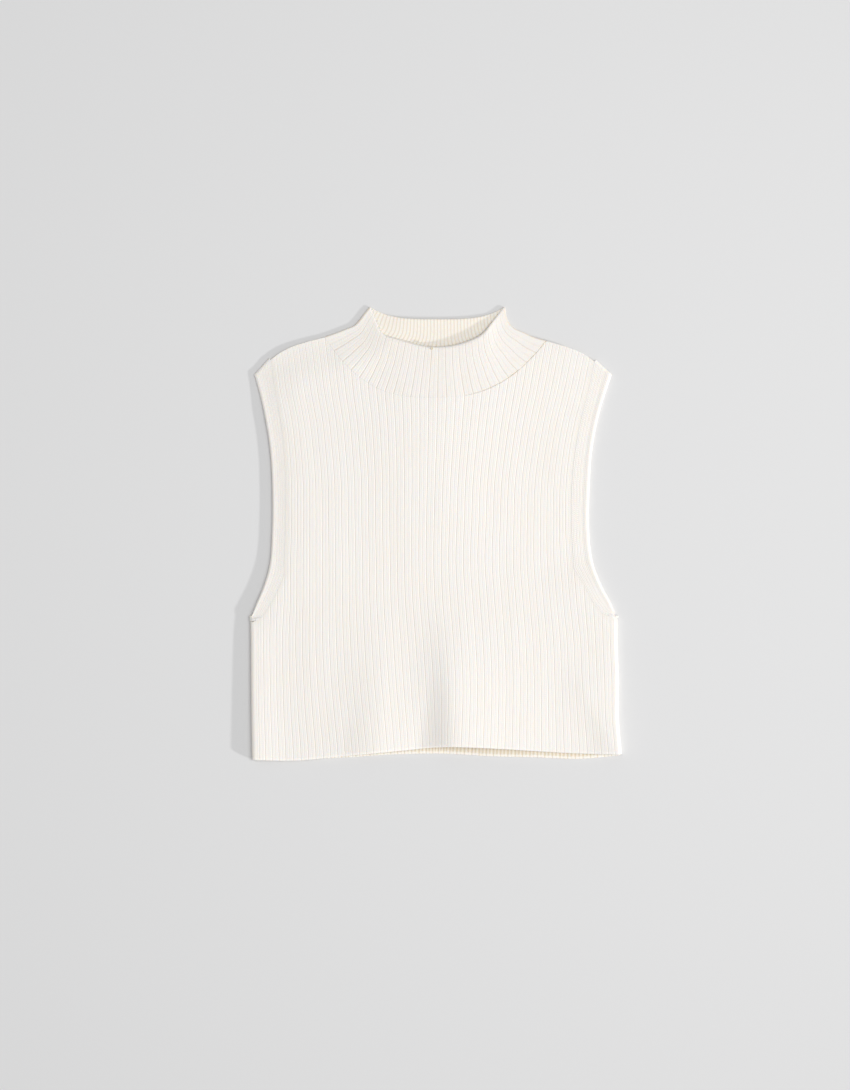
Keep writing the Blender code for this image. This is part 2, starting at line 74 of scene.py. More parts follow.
Section = namedtuple("Section", "height centre left_yoke right_yoke left_side right_side crowding")
SECTIONS = (
    Section(-10, -2.4, -167.0, 167.6, -204.6, 207.2, 0.91),
    Section(20, -2.4, -168.0, 166.2, -205.0, 204.6, 0.94),
    Section(45, -2.7, -169.4, 164.3, -205.4, 202.4, 0.98),
    Section(89, -4.0, -170.6, 161.1, -205.9, 202.4, 1.05),
    Section(134, -6.9, -171.3, 159.2, -206.2, 200.8, 1.07),
    Section(178, -10.5, -169.3, 154.8, -207.0, 201.0, 1.09),
    Section(222, -12.0, -169.2, 151.5, -207.0, 201.0, 1.08),
    Section(267, -11.4, -167.6, 149.3, -207.0, 201.0, 1.13),
    Section(311, -10.5, -167.8, 150.2, -207.0, 201.0, 1.15),
    Section(344, -9.9, -169.5, 153.7, -207.0, 201.0, 1.19),
    Section(378, -9.4, -173.3, 160.0, -207.0, 201.0, 1.22),
    Section(409, -9.4, -179.6, 168.0, -207.0, 201.0, 1.245),
    Section(450, -9.2, -184.6, 176.6, -207.0, 201.0, 1.285),
)
DRAW = 4.6  # how far the ribs are drawn together in the main fold, at the hem
DRAW_PLACE = 4.0
DRAW_WIDTH = 21.0
DRAW_HEIGHT = 85.0

UNDERARM_LEFT = (206, 189, 174.5, 162, 156.5, 154)
UNDERARM_RIGHT = (213, 196, 175.5, 163.5, 160.5, 157.5)

EdgePoint = namedtuple("EdgePoint", "height left right")
ARMHOLE_EDGE = (
    EdgePoint(161.0, -204.8, 198.8),
    EdgePoint(173.0, -200.4, 194.6),
    EdgePoint(192.0, -192.4, 184.6),
    EdgePoint(216.0, -185.6, 174.8),
    EdgePoint(256.0, -182.6, 169.2),
    EdgePoint(300.0, -182.4, 169.8),
    EdgePoint(344.0, -184.8, 172.8),
    EdgePoint(378.0, -190.0, 179.0),
    EdgePoint(405.0, -195.8, 186.6),
    EdgePoint(425.6, -201.4, 193.6),
)

HemPoint = namedtuple("HemPoint", "across front back")
HEM = (
    HemPoint(-206, 0.8, 2.6),
    HemPoint(-158, 0.0, 1.6),
    HemPoint(-100, 5.4, 3.8),
    HemPoint(-44, 10.6, 7.2),
    HemPoint(12, 15.4, 7.8),
    HemPoint(60, 13.8, 5.0),
    HemPoint(110, 10.6, 3.8),
    HemPoint(158, 8.0, 2.2),
    HemPoint(208, 7.0, 6.4),
)

NECK_POINT_LEFT_HEIGHT = 469.5
NECK_POINT_RIGHT_HEIGHT = 465.5
SHOULDER_SLOPE = 15.0  # how far the shoulder falls evenly from the neck point to the band
SHOULDER_HOOK_LEFT = 10.0  # how much more it falls near the band
SHOULDER_HOOK_RIGHT = 8.0
SHOULDER_HOOK_POWER = 4
NECK_CENTRE = -7.0
NECK_DROP = 63.0
NECK_CURVE_LEFT = 2.7
NECK_CURVE_RIGHT = 2.65
BACK_NECK_DROP = 14.0
BACK_NECK_CURVE = 2.0

FoldPoint = namedtuple("FoldPoint", "share left_across left_up right_across right_up")
COLLAR_FOLDS = (
    FoldPoint(0.2, -111.5, 474.2, 107.2, 469.9),
    FoldPoint(0.4, -100.0, 478.6, 95.6, 475.1),
    FoldPoint(0.59, -89.5, 483.2, 84.5, 480.2),
    FoldPoint(0.72, -84.2, 488.7, 78.8, 486.2),
    FoldPoint(0.86, -79.0, 495.7, 75.6, 494.2),
    FoldPoint(1.0, -73.0, 503.0, 74.6, 503.0),
)
COLLAR_FRONT_EDGE = (
    (-73.0, 503.0),
    (-66.6, 487.0),
    (-60.0, 473.6),
    (-42.0, 467.0),
    (-10.0, 459.0),
    (20.0, 460.6),
    (48.0, 471.0),
    (63.0, 488.0),
    (74.6, 503.0),
)
COLLAR_BACK_DIP = 13.0
COLLAR_BACK_CURVE = 3.6
MOUTH_LIFT = 2.9  # how far the collar's front edge stands off its back
TIP_LIFT = 0.2  # how far the front stands up off the back at the collar's two tips
MOUTH_ARCH_LEFT = 0.82  # share of the edge over which it rises to its full height
MOUTH_ARCH_RIGHT = 0.18
COLLAR_RIB_HEIGHT = 0.8

# The soft folds of the front, as ridges and troughs along lines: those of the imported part, a little softer,
# and slighter ones between them. A width is how far a fold reaches on that side of its line. It rises over
# the first share of the line, and falls away after the last one.
Fold = namedtuple("Fold", "x0 y0 x1 y1 height left_width right_width rise fall")
FOLDS = (
    Fold(23, -12, 11, 215, 6.8, 45, 100, -1.0, 0.15),
    Fold(21, -12, 12, 165, 1.7, 22, 44, -1.0, 0.45),
    Fold(-20, -12, -2, 120, -1.7, 16, 26, -1.0, 0.25),
    Fold(-70, -12, -60, 200, 4.0, 52, 42, -1.0, 0.12),
    Fold(-106, -12, -92, 90, -0.4, 20, 16, -1.0, 0.20),
    Fold(206, 0, 146, 122, 2.4, 26, 90, 0.0, 0.60),
    Fold(188, -12, 190, 60, 0.9, 26, 90, -1.0, 0.30),
    Fold(160, 232, 205, 106, 1.4, 26, 60, 0.3, 0.75),
    Fold(-150, 40, -120, 190, 0.6, 40, 40, 0.3, 0.60),
    Fold(6, 120, 2, 470, 3.3, 120, 110, 0.75, 0.95),
)
SIDE_FADE_LEFT = 26.0  # how far in from the outline the folds die away
SIDE_FADE_RIGHT = 3.5

# ---------------------------------------------------------------- finer sizes, of the looks alone

# Columns of points across one rib, from a groove to just before the next one.
RIB_COLUMNS = (0.0, 0.03, 0.07, 0.13, 0.25, 0.38, 0.45, 0.5, 0.55, 0.62, 0.75, 0.87, 0.93, 0.97)
BACK_COLUMNS = (0.0, 0.08, 0.25, 0.42, 0.5, 0.58, 0.75, 0.92)
GROOVE_DEPTH = 0.32  # how far a groove sinks, as a share of a rib's height
MID_DIP = 0.09  # how far a rib sinks between its two columns of stitches
GROOVE_POWER = 6.5  # the higher, the narrower the groove
MID_POWER = 5.0
COURSE = 2.35  # height of a stitch
WALES_PER_RIB = 2
RIB_WIDTH = 8.0

FRONT_BODY_ROWS = 58
FRONT_YOKE_ROWS = 70
BACK_BODY_ROWS = 40
BACK_YOKE_ROWS = 46
COLLAR_ROW_COUNT = 48
EDGE_ROWS = (0.0016, 0.0042, 0.0085, 0.015, 0.025)  # shares of a length that lie close to its end

SIDE_TURN_LEFT = 3.0  # how far the side's rounded edge reaches out from the last rib
SIDE_TURN_RIGHT = 1.0
SIDE_TURN_SPREAD = 1.6  # ribs over which the edge draws in before it turns
SIDE_TURN_STEPS = 7
SIDE_TURN_END = 0.9 * pi
SIDE_FOOT = 0.15  # how near the rounded edge comes to the surface
SIDE_PUFF_HEM = 2.5  # how far the left side's edge stands up, at the hem and at the underarm
SIDE_PUFF_UNDERARM = 0.9
SIDE_PUFF_RIGHT = 0.3  # how much of that the right side has
SIDE_PUFF_WIDTH = 24.0
SIDE_PUFF_SPAN = 150.0  # height over which it goes from the one to the other
SIDE_PUFF_END = 130.0  # from this height up it dies away
SIDE_PUFF_FADE = 40.0
BACK_TUCK = 2.6  # how far the back's sides lie inside the front's rounded ones
BACK_INSIDE_RIB = 0.55
BACK_OUTSIDE_RIB = 0.75
BACK_SIDE_ROUND = 0.3  # of a rib
LOOP_ROW = 2.4  # height of the light row of loops at the back's hem
DEEP_SHADE = 0.25  # how much painted shade darkens the inside above that row, under the front's hem
TICK_SHADE_POWER = 4
PLAIN_SHADE = 0.3  # the relief's colour on a plain side, which hardly shows

EDGE_ROUND = 2.2  # how far in from a free edge the wall rounds over
EDGE_LEFT = 0.35  # share of the wall left at a free edge
SEAM_ROUND = 0.9
SEAM_LEFT = 0.97  # share of the wall left at a seam, which hardly shows
SEAM_CLOSE = 0.28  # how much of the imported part's gap the soft edges of a seam fill
FRONT_TOOTH = 0.5  # how far a rib's end stands out at the front's hem and at the back's
BACK_TOOTH = 1.1
TOOTH_REACH = 5.0  # how far from the hem a rib's end still stands out
RIPPLE = 0.08
WOBBLE = 0.10  # how far the ribs wander sideways
WOBBLE_FREE_RIBS = 3  # over how many ribs from the sides this grows to its full measure
WOBBLE_FREE_TOP = 30  # and over what length from the top and from the hem
WOBBLE_FREE_HEM = 10
RIB_UNEVEN = 0.03
STITCH_UNEVEN = 0.025
PLAIN_LEVEL = 0.85  # where the ribs run out into a band, the share of a rib's height that is left all over
RIBS_RUN_OUT = 3.6
SIDE_BAND_NEAR = 0.8  # how near the band counts as, on the ribs that end under the arm
SEED = 7


def smooth_through(places, values):
    """A smooth curve through the values, as a function of one place or many."""
    places = np.asarray(places, float)
    values = np.asarray(values, float)
    slopes = np.gradient(values, places, axis=0)

    def value(place):
        place = np.asarray(place, float)
        i = np.clip(np.searchsorted(places, place) - 1, 0, len(places) - 2)
        step = places[i + 1] - places[i]
        t = (place - places[i]) / step
        if values.ndim > 1:
            step, t = step[..., None], t[..., None]
        start = (1 + 2 * t) * (1 - t) ** 2 * values[i] + t * (1 - t) ** 2 * step * slopes[i]
        end = t * t * (3 - 2 * t) * values[i + 1] - t * t * (1 - t) * step * slopes[i + 1]
        return start + end

    return value


def along(points):
    """A polyline's points as a function of the share of its length."""
    points = np.asarray(points, float)
    lengths = np.concatenate([[0], np.cumsum(np.linalg.norm(np.diff(points, axis=0), axis=1))])
    shares = lengths / lengths[-1]

    def point(share):
        return np.stack([np.interp(share, shares, points[:, k]) for k in range(points.shape[1])], axis=-1)

    return point


def column(table, name):
    return [getattr(row, name) for row in table]


def ease(share):
    share = np.clip(share, 0.0, 1.0)
    return share * share * (3 - 2 * share)


# ---------------------------------------------------------------- the flat shape

def curves(table):
    """A smooth curve through each further column of a table, over its first one."""
    places, *others = zip(*table)
    return [smooth_through(places, values) for values in others]


(centre_line, left_yoke_line, right_yoke_line, left_side_line, right_side_line,
 rib_crowding) = curves(SECTIONS)
left_armhole, right_armhole = curves(ARMHOLE_EDGE)
front_hem, back_hem = curves(HEM)


def rib_x(rib, height):
    """Where the rib lines with these numbers, counted from the centre, lie at these heights."""
    rib, height = np.broadcast_arrays(np.asarray(rib, float), np.asarray(height, float))
    left = rib < 0
    share = abs(rib) / YOKE_RIBS
    centre = centre_line(height)
    yoke = np.where(left, left_yoke_line(height), right_yoke_line(height))
    side = np.where(left, left_side_line(height), right_side_line(height))
    crowding = rib_crowding(height)
    inner = centre + (yoke - centre) * share * (crowding - (crowding - 1) * share)
    outer = yoke + (side - yoke) * (abs(rib) - YOKE_RIBS) / (SIDE_RIBS - YOKE_RIBS)
    x = np.where(share <= 1, inner, outer)
    off = (x - DRAW_PLACE) / DRAW_WIDTH
    return x - DRAW * off * np.exp(-off ** 2) * (1 - ease(height / DRAW_HEIGHT))


NECK_POINT_LEFT = (float(rib_x(-NECK_RIBS_LEFT, NECK_POINT_LEFT_HEIGHT)), NECK_POINT_LEFT_HEIGHT)
NECK_POINT_RIGHT = (float(rib_x(NECK_RIBS_RIGHT, NECK_POINT_RIGHT_HEIGHT)), NECK_POINT_RIGHT_HEIGHT)


def neck_points(left):
    """The neck points' places across and up, for places on the left and on the right."""
    return [np.where(left, *pair) for pair in zip(NECK_POINT_LEFT, NECK_POINT_RIGHT)]


def neck_height(x, centre, drop, curve_left, curve_right):
    left = x < centre
    point_x, point_y = neck_points(left)
    curve = np.where(left, curve_left, curve_right)
    share = np.minimum(abs((x - centre) / (point_x - centre)), 1.0)
    bottom = min(NECK_POINT_LEFT[1], NECK_POINT_RIGHT[1]) - drop
    return bottom + (point_y - bottom) * share ** curve


def shoulder_height(x):
    left = x < NECK_CENTRE
    point_x, point_y = neck_points(left)
    hook = np.where(left, SHOULDER_HOOK_LEFT, SHOULDER_HOOK_RIGHT)
    end_height = point_y - SHOULDER_SLOPE - hook
    end_x = np.where(left, left_yoke_line(end_height), right_yoke_line(end_height))
    share = np.maximum((x - point_x) / (end_x - point_x), 0.0)
    return point_y - SHOULDER_SLOPE * share - hook * share ** SHOULDER_HOOK_POWER


def within_neck(x):
    return (x > NECK_POINT_LEFT[0]) & (x < NECK_POINT_RIGHT[0])


def front_top(x):
    neck = neck_height(x, NECK_CENTRE, NECK_DROP, NECK_CURVE_LEFT, NECK_CURVE_RIGHT)
    return np.where(within_neck(x), neck, shoulder_height(x))


def back_top(x):
    neck = neck_height(x, 0.0, BACK_NECK_DROP, BACK_NECK_CURVE, BACK_NECK_CURVE)
    return np.where(within_neck(x), neck, shoulder_height(x))


def underarm_height(rib):
    """Where a rib passes from the body to the yoke, or ends at the armhole band."""
    rib = np.asarray(rib, float)
    ribs = np.arange(YOKE_RIBS, SIDE_RIBS + 1)
    left, right = (np.interp(abs(rib), ribs, table) for table in (UNDERARM_LEFT, UNDERARM_RIGHT))
    share = (rib + YOKE_RIBS) / (2 * YOKE_RIBS)
    inner = (1 - share) * UNDERARM_LEFT[0] + share * UNDERARM_RIGHT[0]
    return np.where(abs(rib) < YOKE_RIBS, inner, np.where(rib < 0, left, right))


def meet(rib, line, start):
    """The heights at which rib lines meet a line that is given as a height over x."""
    height = np.full(np.shape(rib), float(start))
    for _ in range(MEET_STEPS):
        height = 0.5 * (height + line(rib_x(rib, height)))
    return height


# ---------------------------------------------------------------- unevenness

def soft_noise(seed, across_step, along_step, across_range, along_range):
    """A smooth random height over two coordinates, from -1 to 1, with knots at the given steps."""
    values = np.random.default_rng(seed)
    n = int((across_range[1] - across_range[0]) / across_step) + 4
    m = int((along_range[1] - along_range[0]) / along_step) + 4
    knots = values.uniform(-1, 1, (n, m))

    def noise(across, along_):
        a = (np.asarray(across, float) - across_range[0]) / across_step + 1
        b = (np.asarray(along_, float) - along_range[0]) / along_step + 1
        i = np.clip(a.astype(int), 0, n - 2)
        j = np.clip(b.astype(int), 0, m - 2)
        s, t = ease(a - i), ease(b - j)
        low = knots[i, j] * (1 - s) + knots[i + 1, j] * s
        high = knots[i, j + 1] * (1 - s) + knots[i + 1, j + 1] * s
        return low * (1 - t) + high * t

    return noise


ALL_RIBS = (-30, 30)
ALL_ACROSS = (-220, 220)
ALL_UP = (-20, 520)
wander = soft_noise(SEED, 4, 62, ALL_RIBS, ALL_UP)
rib_swell = soft_noise(SEED + 1, 1, 60, ALL_RIBS, ALL_UP)
surface_ripple = soft_noise(SEED + 2, 14, 60, ALL_ACROSS, ALL_UP)
stitch_swell = soft_noise(SEED + 3, 0.5, 5, ALL_RIBS, ALL_UP)


# ---------------------------------------------------------------- the lie of the front

def outline_distances(x, y):
    """How far points lie in from the left and right sides, or from the armholes' free edges."""
    body = y <= ARMHOLE_EDGE[0].height
    left = np.where(body, left_side_line(y), left_armhole(y))
    right = np.where(body, right_side_line(y), right_armhole(y))
    return x - left, right - x


def fold_height(fold, x, y):
    run = np.array([fold.x1 - fold.x0, fold.y1 - fold.y0], float)
    length = np.linalg.norm(run)
    off_x, off_y = x - fold.x0, y - fold.y0
    share = (off_x * run[0] + off_y * run[1]) / length ** 2
    distance = (run[0] * off_y - run[1] * off_x) / length
    width = np.where(distance > 0, fold.left_width, fold.right_width)
    rise = ease(share / fold.rise) if fold.rise > 0 else 1.0
    fall = 1 - ease((share - fold.fall) / (1 - fold.fall))
    return fold.height * rise * fall / (1 + (distance / width) ** 2) ** 2


def side_puff(x, y):
    """How far the body's rounded sides stand up off the back, more towards the hem."""
    body = 1 - ease((y - SIDE_PUFF_END) / SIDE_PUFF_FADE)
    share = np.clip(y / SIDE_PUFF_SPAN, 0, 1)
    height = SIDE_PUFF_HEM + (SIDE_PUFF_UNDERARM - SIDE_PUFF_HEM) * share
    height = height * np.where(x < 0, 1.0, SIDE_PUFF_RIGHT)
    distance = np.maximum(np.minimum(*outline_distances(x, y)), 0)
    return body * height * np.exp(-(distance / SIDE_PUFF_WIDTH) ** 2)


def front_lay(x, y):
    """The height of the front's plain side over the surface."""
    x, y = np.asarray(x, float), np.asarray(y, float)
    left, right = outline_distances(x, y)
    fade = np.minimum(ease(left / SIDE_FADE_LEFT), ease(right / SIDE_FADE_RIGHT))
    lay = LAY + fade * sum(fold_height(fold, x, y) for fold in FOLDS)
    return lay + side_puff(x, y) + RIPPLE * fade * (1 + surface_ripple(x, y))


def fold_points(side):
    """The points along a folded side of the collar, above the neck."""
    name = "left" if side < 0 else "right"
    return list(zip(column(COLLAR_FOLDS, name + "_across"), column(COLLAR_FOLDS, name + "_up")))


def armhole_edge(side, count):
    """Points along an armhole's free edge, from the underarm up."""
    edge = left_armhole if side < 0 else right_armhole
    heights = np.linspace(ARMHOLE_EDGE[0].height, ARMHOLE_EDGE[-1].height, count)
    return np.stack([edge(heights), heights], axis=1)


OUTLINE_ARMHOLE_POINTS = 24
OUTLINE_SHOULDER_POINTS = 14


def outline_above_underarm(side):
    """The outline from the underarm up: the armhole, the shoulder and the folded side of the collar."""
    top = NECK_POINT_LEFT_HEIGHT - SHOULDER_SLOPE - SHOULDER_HOOK_LEFT
    neck_x = (NECK_POINT_LEFT if side < 0 else NECK_POINT_RIGHT)[0]
    across = np.linspace(float(rib_x(side * YOKE_RIBS, top)), neck_x, OUTLINE_SHOULDER_POINTS)
    shoulder = np.stack([across, shoulder_height(across)], axis=1)
    return np.concatenate([armhole_edge(side, OUTLINE_ARMHOLE_POINTS), shoulder, fold_points(side)])


def distance_to(line, x, y):
    """The distances of points from a polyline."""
    least = np.full(np.shape(x), np.inf)
    for (ax, ay), (bx, by) in zip(line[:-1], line[1:]):
        share = ((x - ax) * (bx - ax) + (y - ay) * (by - ay)) / ((bx - ax) ** 2 + (by - ay) ** 2)
        share = np.clip(share, 0, 1)
        least = np.minimum(least, np.hypot(x - ax - share * (bx - ax), y - ay - share * (by - ay)))
    return least


PRESS_WIDTH = 45.0  # how far in from the outline the cloth lies flatter
PressedPoint = namedtuple("PressedPoint", "height left right")
PRESSED = (  # the shares of its height that it keeps at the outline
    PressedPoint(165.0, 1.00, 1.00),
    PressedPoint(240.0, 0.88, 1.00),
    PressedPoint(385.0, 0.88, 0.98),
    PressedPoint(435.0, 0.50, 0.86),
    PressedPoint(470.0, 0.46, 0.72),
    PressedPoint(505.0, 0.42, 0.42),
)
LEAST_PRESSED = 0.4
OUTLINES = [outline_above_underarm(side) for side in (-1, 1)]


def pressed(x, y):
    """The share of its height that the cloth keeps near its outline above the underarms."""
    share = 1.0
    for line, name in zip(OUTLINES, ("left", "right")):
        kept = np.interp(y, column(PRESSED, "height"), column(PRESSED, name))
        share = share - (1 - kept) * (1 - ease(distance_to(line, x, y) / PRESS_WIDTH))
    return np.maximum(share, LEAST_PRESSED)


# ---------------------------------------------------------------- the form of a rib

def rib_profile(rib):
    """A share of a rib's height: 1 on the two columns of stitches of each rib, and least in the grooves."""
    u = np.asarray(rib, float) % 1.0
    half = np.minimum(u, 1 - u) * 2  # 0 at a groove and 1 at the middle of the rib
    across = 2 * half - 1  # -1 at the groove, 0 on the column and 1 at the middle
    groove = GROOVE_DEPTH * abs(across) ** GROOVE_POWER
    return 1 - np.where(across < 0, groove, MID_DIP * abs(across) ** MID_POWER)


def rib_relief(rib, height_at):
    """The profile, uneven from rib to rib and along each one."""
    number = np.floor(rib)
    uneven = 1 + RIB_UNEVEN * rib_swell(number, height_at) + STITCH_UNEVEN * stitch_swell(rib, height_at)
    return rib_profile(rib) * uneven


def run_out(relief, distance):
    """The relief where ribs run out into a plain band, at a distance from it."""
    near = np.exp(-(np.maximum(distance, 0) / RIBS_RUN_OUT) ** 2)
    return relief + (PLAIN_LEVEL - relief) * near


def edge_share(distance, reach, left):
    """How much of the wall is left at a distance from its edge, rounded over."""
    inward = np.clip(distance / reach, 0, 1)
    return left + (1 - left) * np.sqrt(1 - (1 - inward) ** 2)


NECK_SEAM_SHOWN = 0.28  # how much of the wall sinks at the neck seam, on the right where it shows
# How much painted shade darkens the colour in the neck seam's gaps.
NECK_SEAM_SHADE = 0.5
NECK_SEAM_START = 3.5  # the rib from which it shows, and how many ribs it takes to show fully
NECK_SEAM_FADE = 3
NECK_SEAM_EVEN = 0.65
NECK_SEAM_UNEVEN = 0.35
DASH_PLACE = 10.0  # any one place along, as the dashes only change across
seam_dashes = soft_noise(SEED + 5, 0.42, 50, ALL_RIBS, (0, 100))


def neck_seam(rib, distance):
    """The share of the wall left near the neck seam, and of the relief's colour, darkened there as painted
    shade in the seam's gaps. It shows on the right.
    """
    dashes = NECK_SEAM_EVEN + NECK_SEAM_UNEVEN * seam_dashes(rib, DASH_PLACE)
    shown = ease((rib - NECK_SEAM_START) / NECK_SEAM_FADE) * (rib <= NECK_RIBS_RIGHT) * dashes
    left = SEAM_LEFT - NECK_SEAM_SHOWN * shown
    near = np.exp(-(distance / SEAM_ROUND) ** 2)
    return edge_share(distance, SEAM_ROUND, left), 1 - NECK_SEAM_SHADE * shown * near


# ---------------------------------------------------------------- meshes

NO_STRAND_WAY = (0.31, 0.17, 0.93)  # a direction that no strand follows
STRAND_TIP = 0.3
SHARP_ANGLE = 62


class Shell:
    """A closed mesh gathered from grids of points. Each point also has its place in the knit, in wales and
    courses, its relief, from 0 in a groove to 1 on a column of stitches, which also sets the painted shade of
    the grooves, and how far it is on the inside, which sets the inside's painted warm shade."""

    def __init__(self):
        self.points = []
        self.places = []
        self.reliefs = []
        self.insides = []
        self.quads = []
        self.others = []
        self.count = 0

    def add(self, x, y, z, wale, course, relief, there=None, inside=0.0):
        """Adds a grid of points and gives their indices, with -1 where there is none."""
        x, y, z, wale, course, relief, inside = np.broadcast_arrays(x, y, z, wale, course, relief, inside)
        there = np.ones(x.shape, bool) if there is None else np.broadcast_to(there, x.shape)
        index = np.full(x.shape, -1)
        index[there] = self.count + np.arange(there.sum())
        self.count += int(there.sum())
        self.points.append(np.stack([x[there], y[there], z[there]], axis=1))
        self.places.append(np.stack([wale[there], course[there]], axis=1))
        self.reliefs.append(np.array(relief[there], float))
        self.insides.append(np.array(inside[there], float))
        return index

    def strand(self, points, radius, relief=1.0, inside=0.0, sides=6):
        """A round strand of yarn along a line of points, with closed ends."""
        points = np.asarray(points, float)
        ahead = np.gradient(points, axis=0)
        ahead /= np.linalg.norm(ahead, axis=1, keepdims=True)
        aside = np.cross(ahead, NO_STRAND_WAY)
        aside /= np.linalg.norm(aside, axis=1, keepdims=True)
        up = np.cross(aside, ahead)
        angles = tau * np.arange(sides) / sides
        from_end = np.minimum(np.arange(len(points)), np.arange(len(points))[::-1])
        radii = radius * np.sqrt(np.clip(from_end + STRAND_TIP, 0, 1))
        ring = aside[:, None] * np.cos(angles)[None, :, None] + up[:, None] * np.sin(angles)[None, :, None]
        place = points[:, None] + radii[:, None, None] * ring
        index = self.add(place[..., 0], place[..., 1], place[..., 2], angles[None, :] / tau,
                         np.arange(len(points))[:, None], relief, inside=inside)
        self.skin(index, closed=True)
        self.face([int(c) for c in index[0]])
        self.face([int(c) for c in index[-1]])

    def skin(self, index, closed=False):
        """Quads over a grid of indices, round again to its first column if it is closed."""
        if closed:
            index = np.concatenate([index, index[:, :1]], axis=1)
        quads = np.stack([index[:-1, :-1], index[:-1, 1:], index[1:, 1:], index[1:, :-1]], axis=-1)
        quads = quads.reshape(-1, 4)
        self.quads.append(quads[(quads >= 0).all(axis=1)])

    def face(self, corners):
        kept = [c for k, c in enumerate(corners) if c != corners[k - 1]]
        if len(kept) > 2:
            self.others.append(kept)

    def object(self, name, material, origin):
        points = np.concatenate(self.points)
        points[:, 2] *= pressed(points[:, 0], points[:, 1])
        points = points * MM + origin
        places = np.concatenate(self.places)
        faces = np.concatenate(self.quads).tolist() + [[int(c) for c in face] for face in self.others]
        mesh = bpy.data.meshes.new(name)
        mesh.from_pydata(points.tolist(), [], faces)
        shell = bmesh.new()
        shell.from_mesh(mesh)
        bmesh.ops.recalc_face_normals(shell, faces=shell.faces)
        shell.to_mesh(mesh)
        shell.free()
        corners = np.zeros(len(mesh.loops), np.int32)
        mesh.loops.foreach_get("vertex_index", corners)
        layer = mesh.uv_layers.new(name="knit")
        layer.data.foreach_set("uv", places[corners].astype(np.float32).ravel())
        for attribute, values in (("relief", self.reliefs), ("inside", self.insides)):
            layer = mesh.attributes.new(attribute, "FLOAT", "POINT")
            layer.data.foreach_set("value", np.concatenate(values).astype(np.float32))
        mesh.materials.append(material)
        mesh.shade_smooth()
        mesh.set_sharp_from_angle(angle=radians(SHARP_ANGLE))
        piece = bpy.data.objects.new(name, mesh)
        bpy.context.scene.collection.objects.link(piece)
        return piece


def row_shares(count, close_start=True):
    """Shares from 0 to 1, with some rows close to the end, and close to the start unless left out."""
    start = list(EDGE_ROWS) if close_start else []
    end = [1 - share for share in reversed(EDGE_ROWS)]
    low = EDGE_ROWS[-1] if close_start else 0.0
    middle = np.linspace(low, end[0], count - len(start) - len(end))[1:-1]
    return np.array([0.0] + start + list(middle) + end + [1.0])


def rib_columns(first, last, columns):
    numbers = [rib + share for rib in range(first, last) for share in columns] + [last]
    return np.array(numbers, float)


class WallGrid:
    """The plan of a panel: rows that follow the hem and columns that follow the ribs. The columns outside the
    yoke stop under the arm."""

    def __init__(self, ribs, hem, top, body_rows, yoke_rows, tooth):
        self.ribs = ribs
        held = np.clip(ribs, -SIDE_RIBS, SIDE_RIBS)
        bottom = meet(held, hem, 0.0)
        middle = underarm_height(held)
        end = np.where(abs(held) <= YOKE_RIBS, meet(held, top, NECK_POINT_LEFT_HEIGHT), middle)
        self.body = len(body_rows)
        body = bottom + body_rows[:, None] * (middle - bottom)
        yoke = middle + yoke_rows[1:, None] * (end - middle)
        self.y = np.concatenate([body, yoke])
        self.x = rib_x(held, self.y)
        rows = np.arange(len(self.y))[:, None]
        self.there = (rows < self.body) | (abs(held) <= YOKE_RIBS)
        self.from_hem = self.y - bottom
        self.to_end = np.where(abs(held) <= YOKE_RIBS, end, middle) - self.y
        aside = (YOKE_RIBS - abs(held)) * RIB_WIDTH
        below = np.maximum(underarm_height(np.sign(held) * YOKE_RIBS) - self.y, 0)
        self.to_band = np.where(abs(held) <= YOKE_RIBS, np.hypot(aside, below), SIDE_BAND_NEAR * self.to_end)
        self.course = self.from_hem / COURSE
        inside = (ease((SIDE_RIBS - abs(held)) / WOBBLE_FREE_RIBS) * ease(self.to_end / WOBBLE_FREE_TOP)
                  * ease(self.from_hem / WOBBLE_FREE_HEM))
        self.x = self.x + WOBBLE * inside * wander(ribs[None, :], self.y)
        self.y = self.y - tooth * (rib_profile(held) - 0.5) * np.exp(-self.from_hem / TOOTH_REACH)

    def border(self):
        """The grid's border as (row, column), right round: along the hem, up, over the top and down."""
        body, top, last = self.body - 1, len(self.y) - 1, len(self.ribs) - 1
        right = int(np.where(self.ribs == YOKE_RIBS)[0][0])
        left = int(np.where(self.ribs == -YOKE_RIBS)[0][0])
        path = [(0, c) for c in range(last + 1)]
        path += [(r, last) for r in range(1, body)]
        path += [(body, c) for c in range(last, right - 1, -1)]
        path += [(r, right) for r in range(body + 1, top)]
        path += [(top, c) for c in range(right, left - 1, -1)]
        path += [(r, left) for r in range(top - 1, body, -1)]
        path += [(body, c) for c in range(left, -1, -1)]
        path += [(r, 0) for r in range(body - 1, 0, -1)]
        return path

    def close(self, shell, fine, plain):
        """Joins the two sides all round. Where the plain side has no point, a face spans to the next one."""
        path = self.border()
        held = [k for k, cell in enumerate(path) if plain[cell] >= 0]
        for start, end in zip(held, held[1:] + [held[0] + len(path)]):
            cells = [path[k % len(path)] for k in range(start, end + 1)]
            shell.face([plain[cells[0]], plain[cells[-1]]] + [fine[cell] for cell in reversed(cells)])


def side_columns(ribs):
    """The ribs with columns past both ends, for the rounded sides."""
    turn = np.linspace(0, 1, SIDE_TURN_STEPS + 1)[1:]
    return np.concatenate([-SIDE_RIBS - turn[::-1], ribs, SIDE_RIBS + turn])


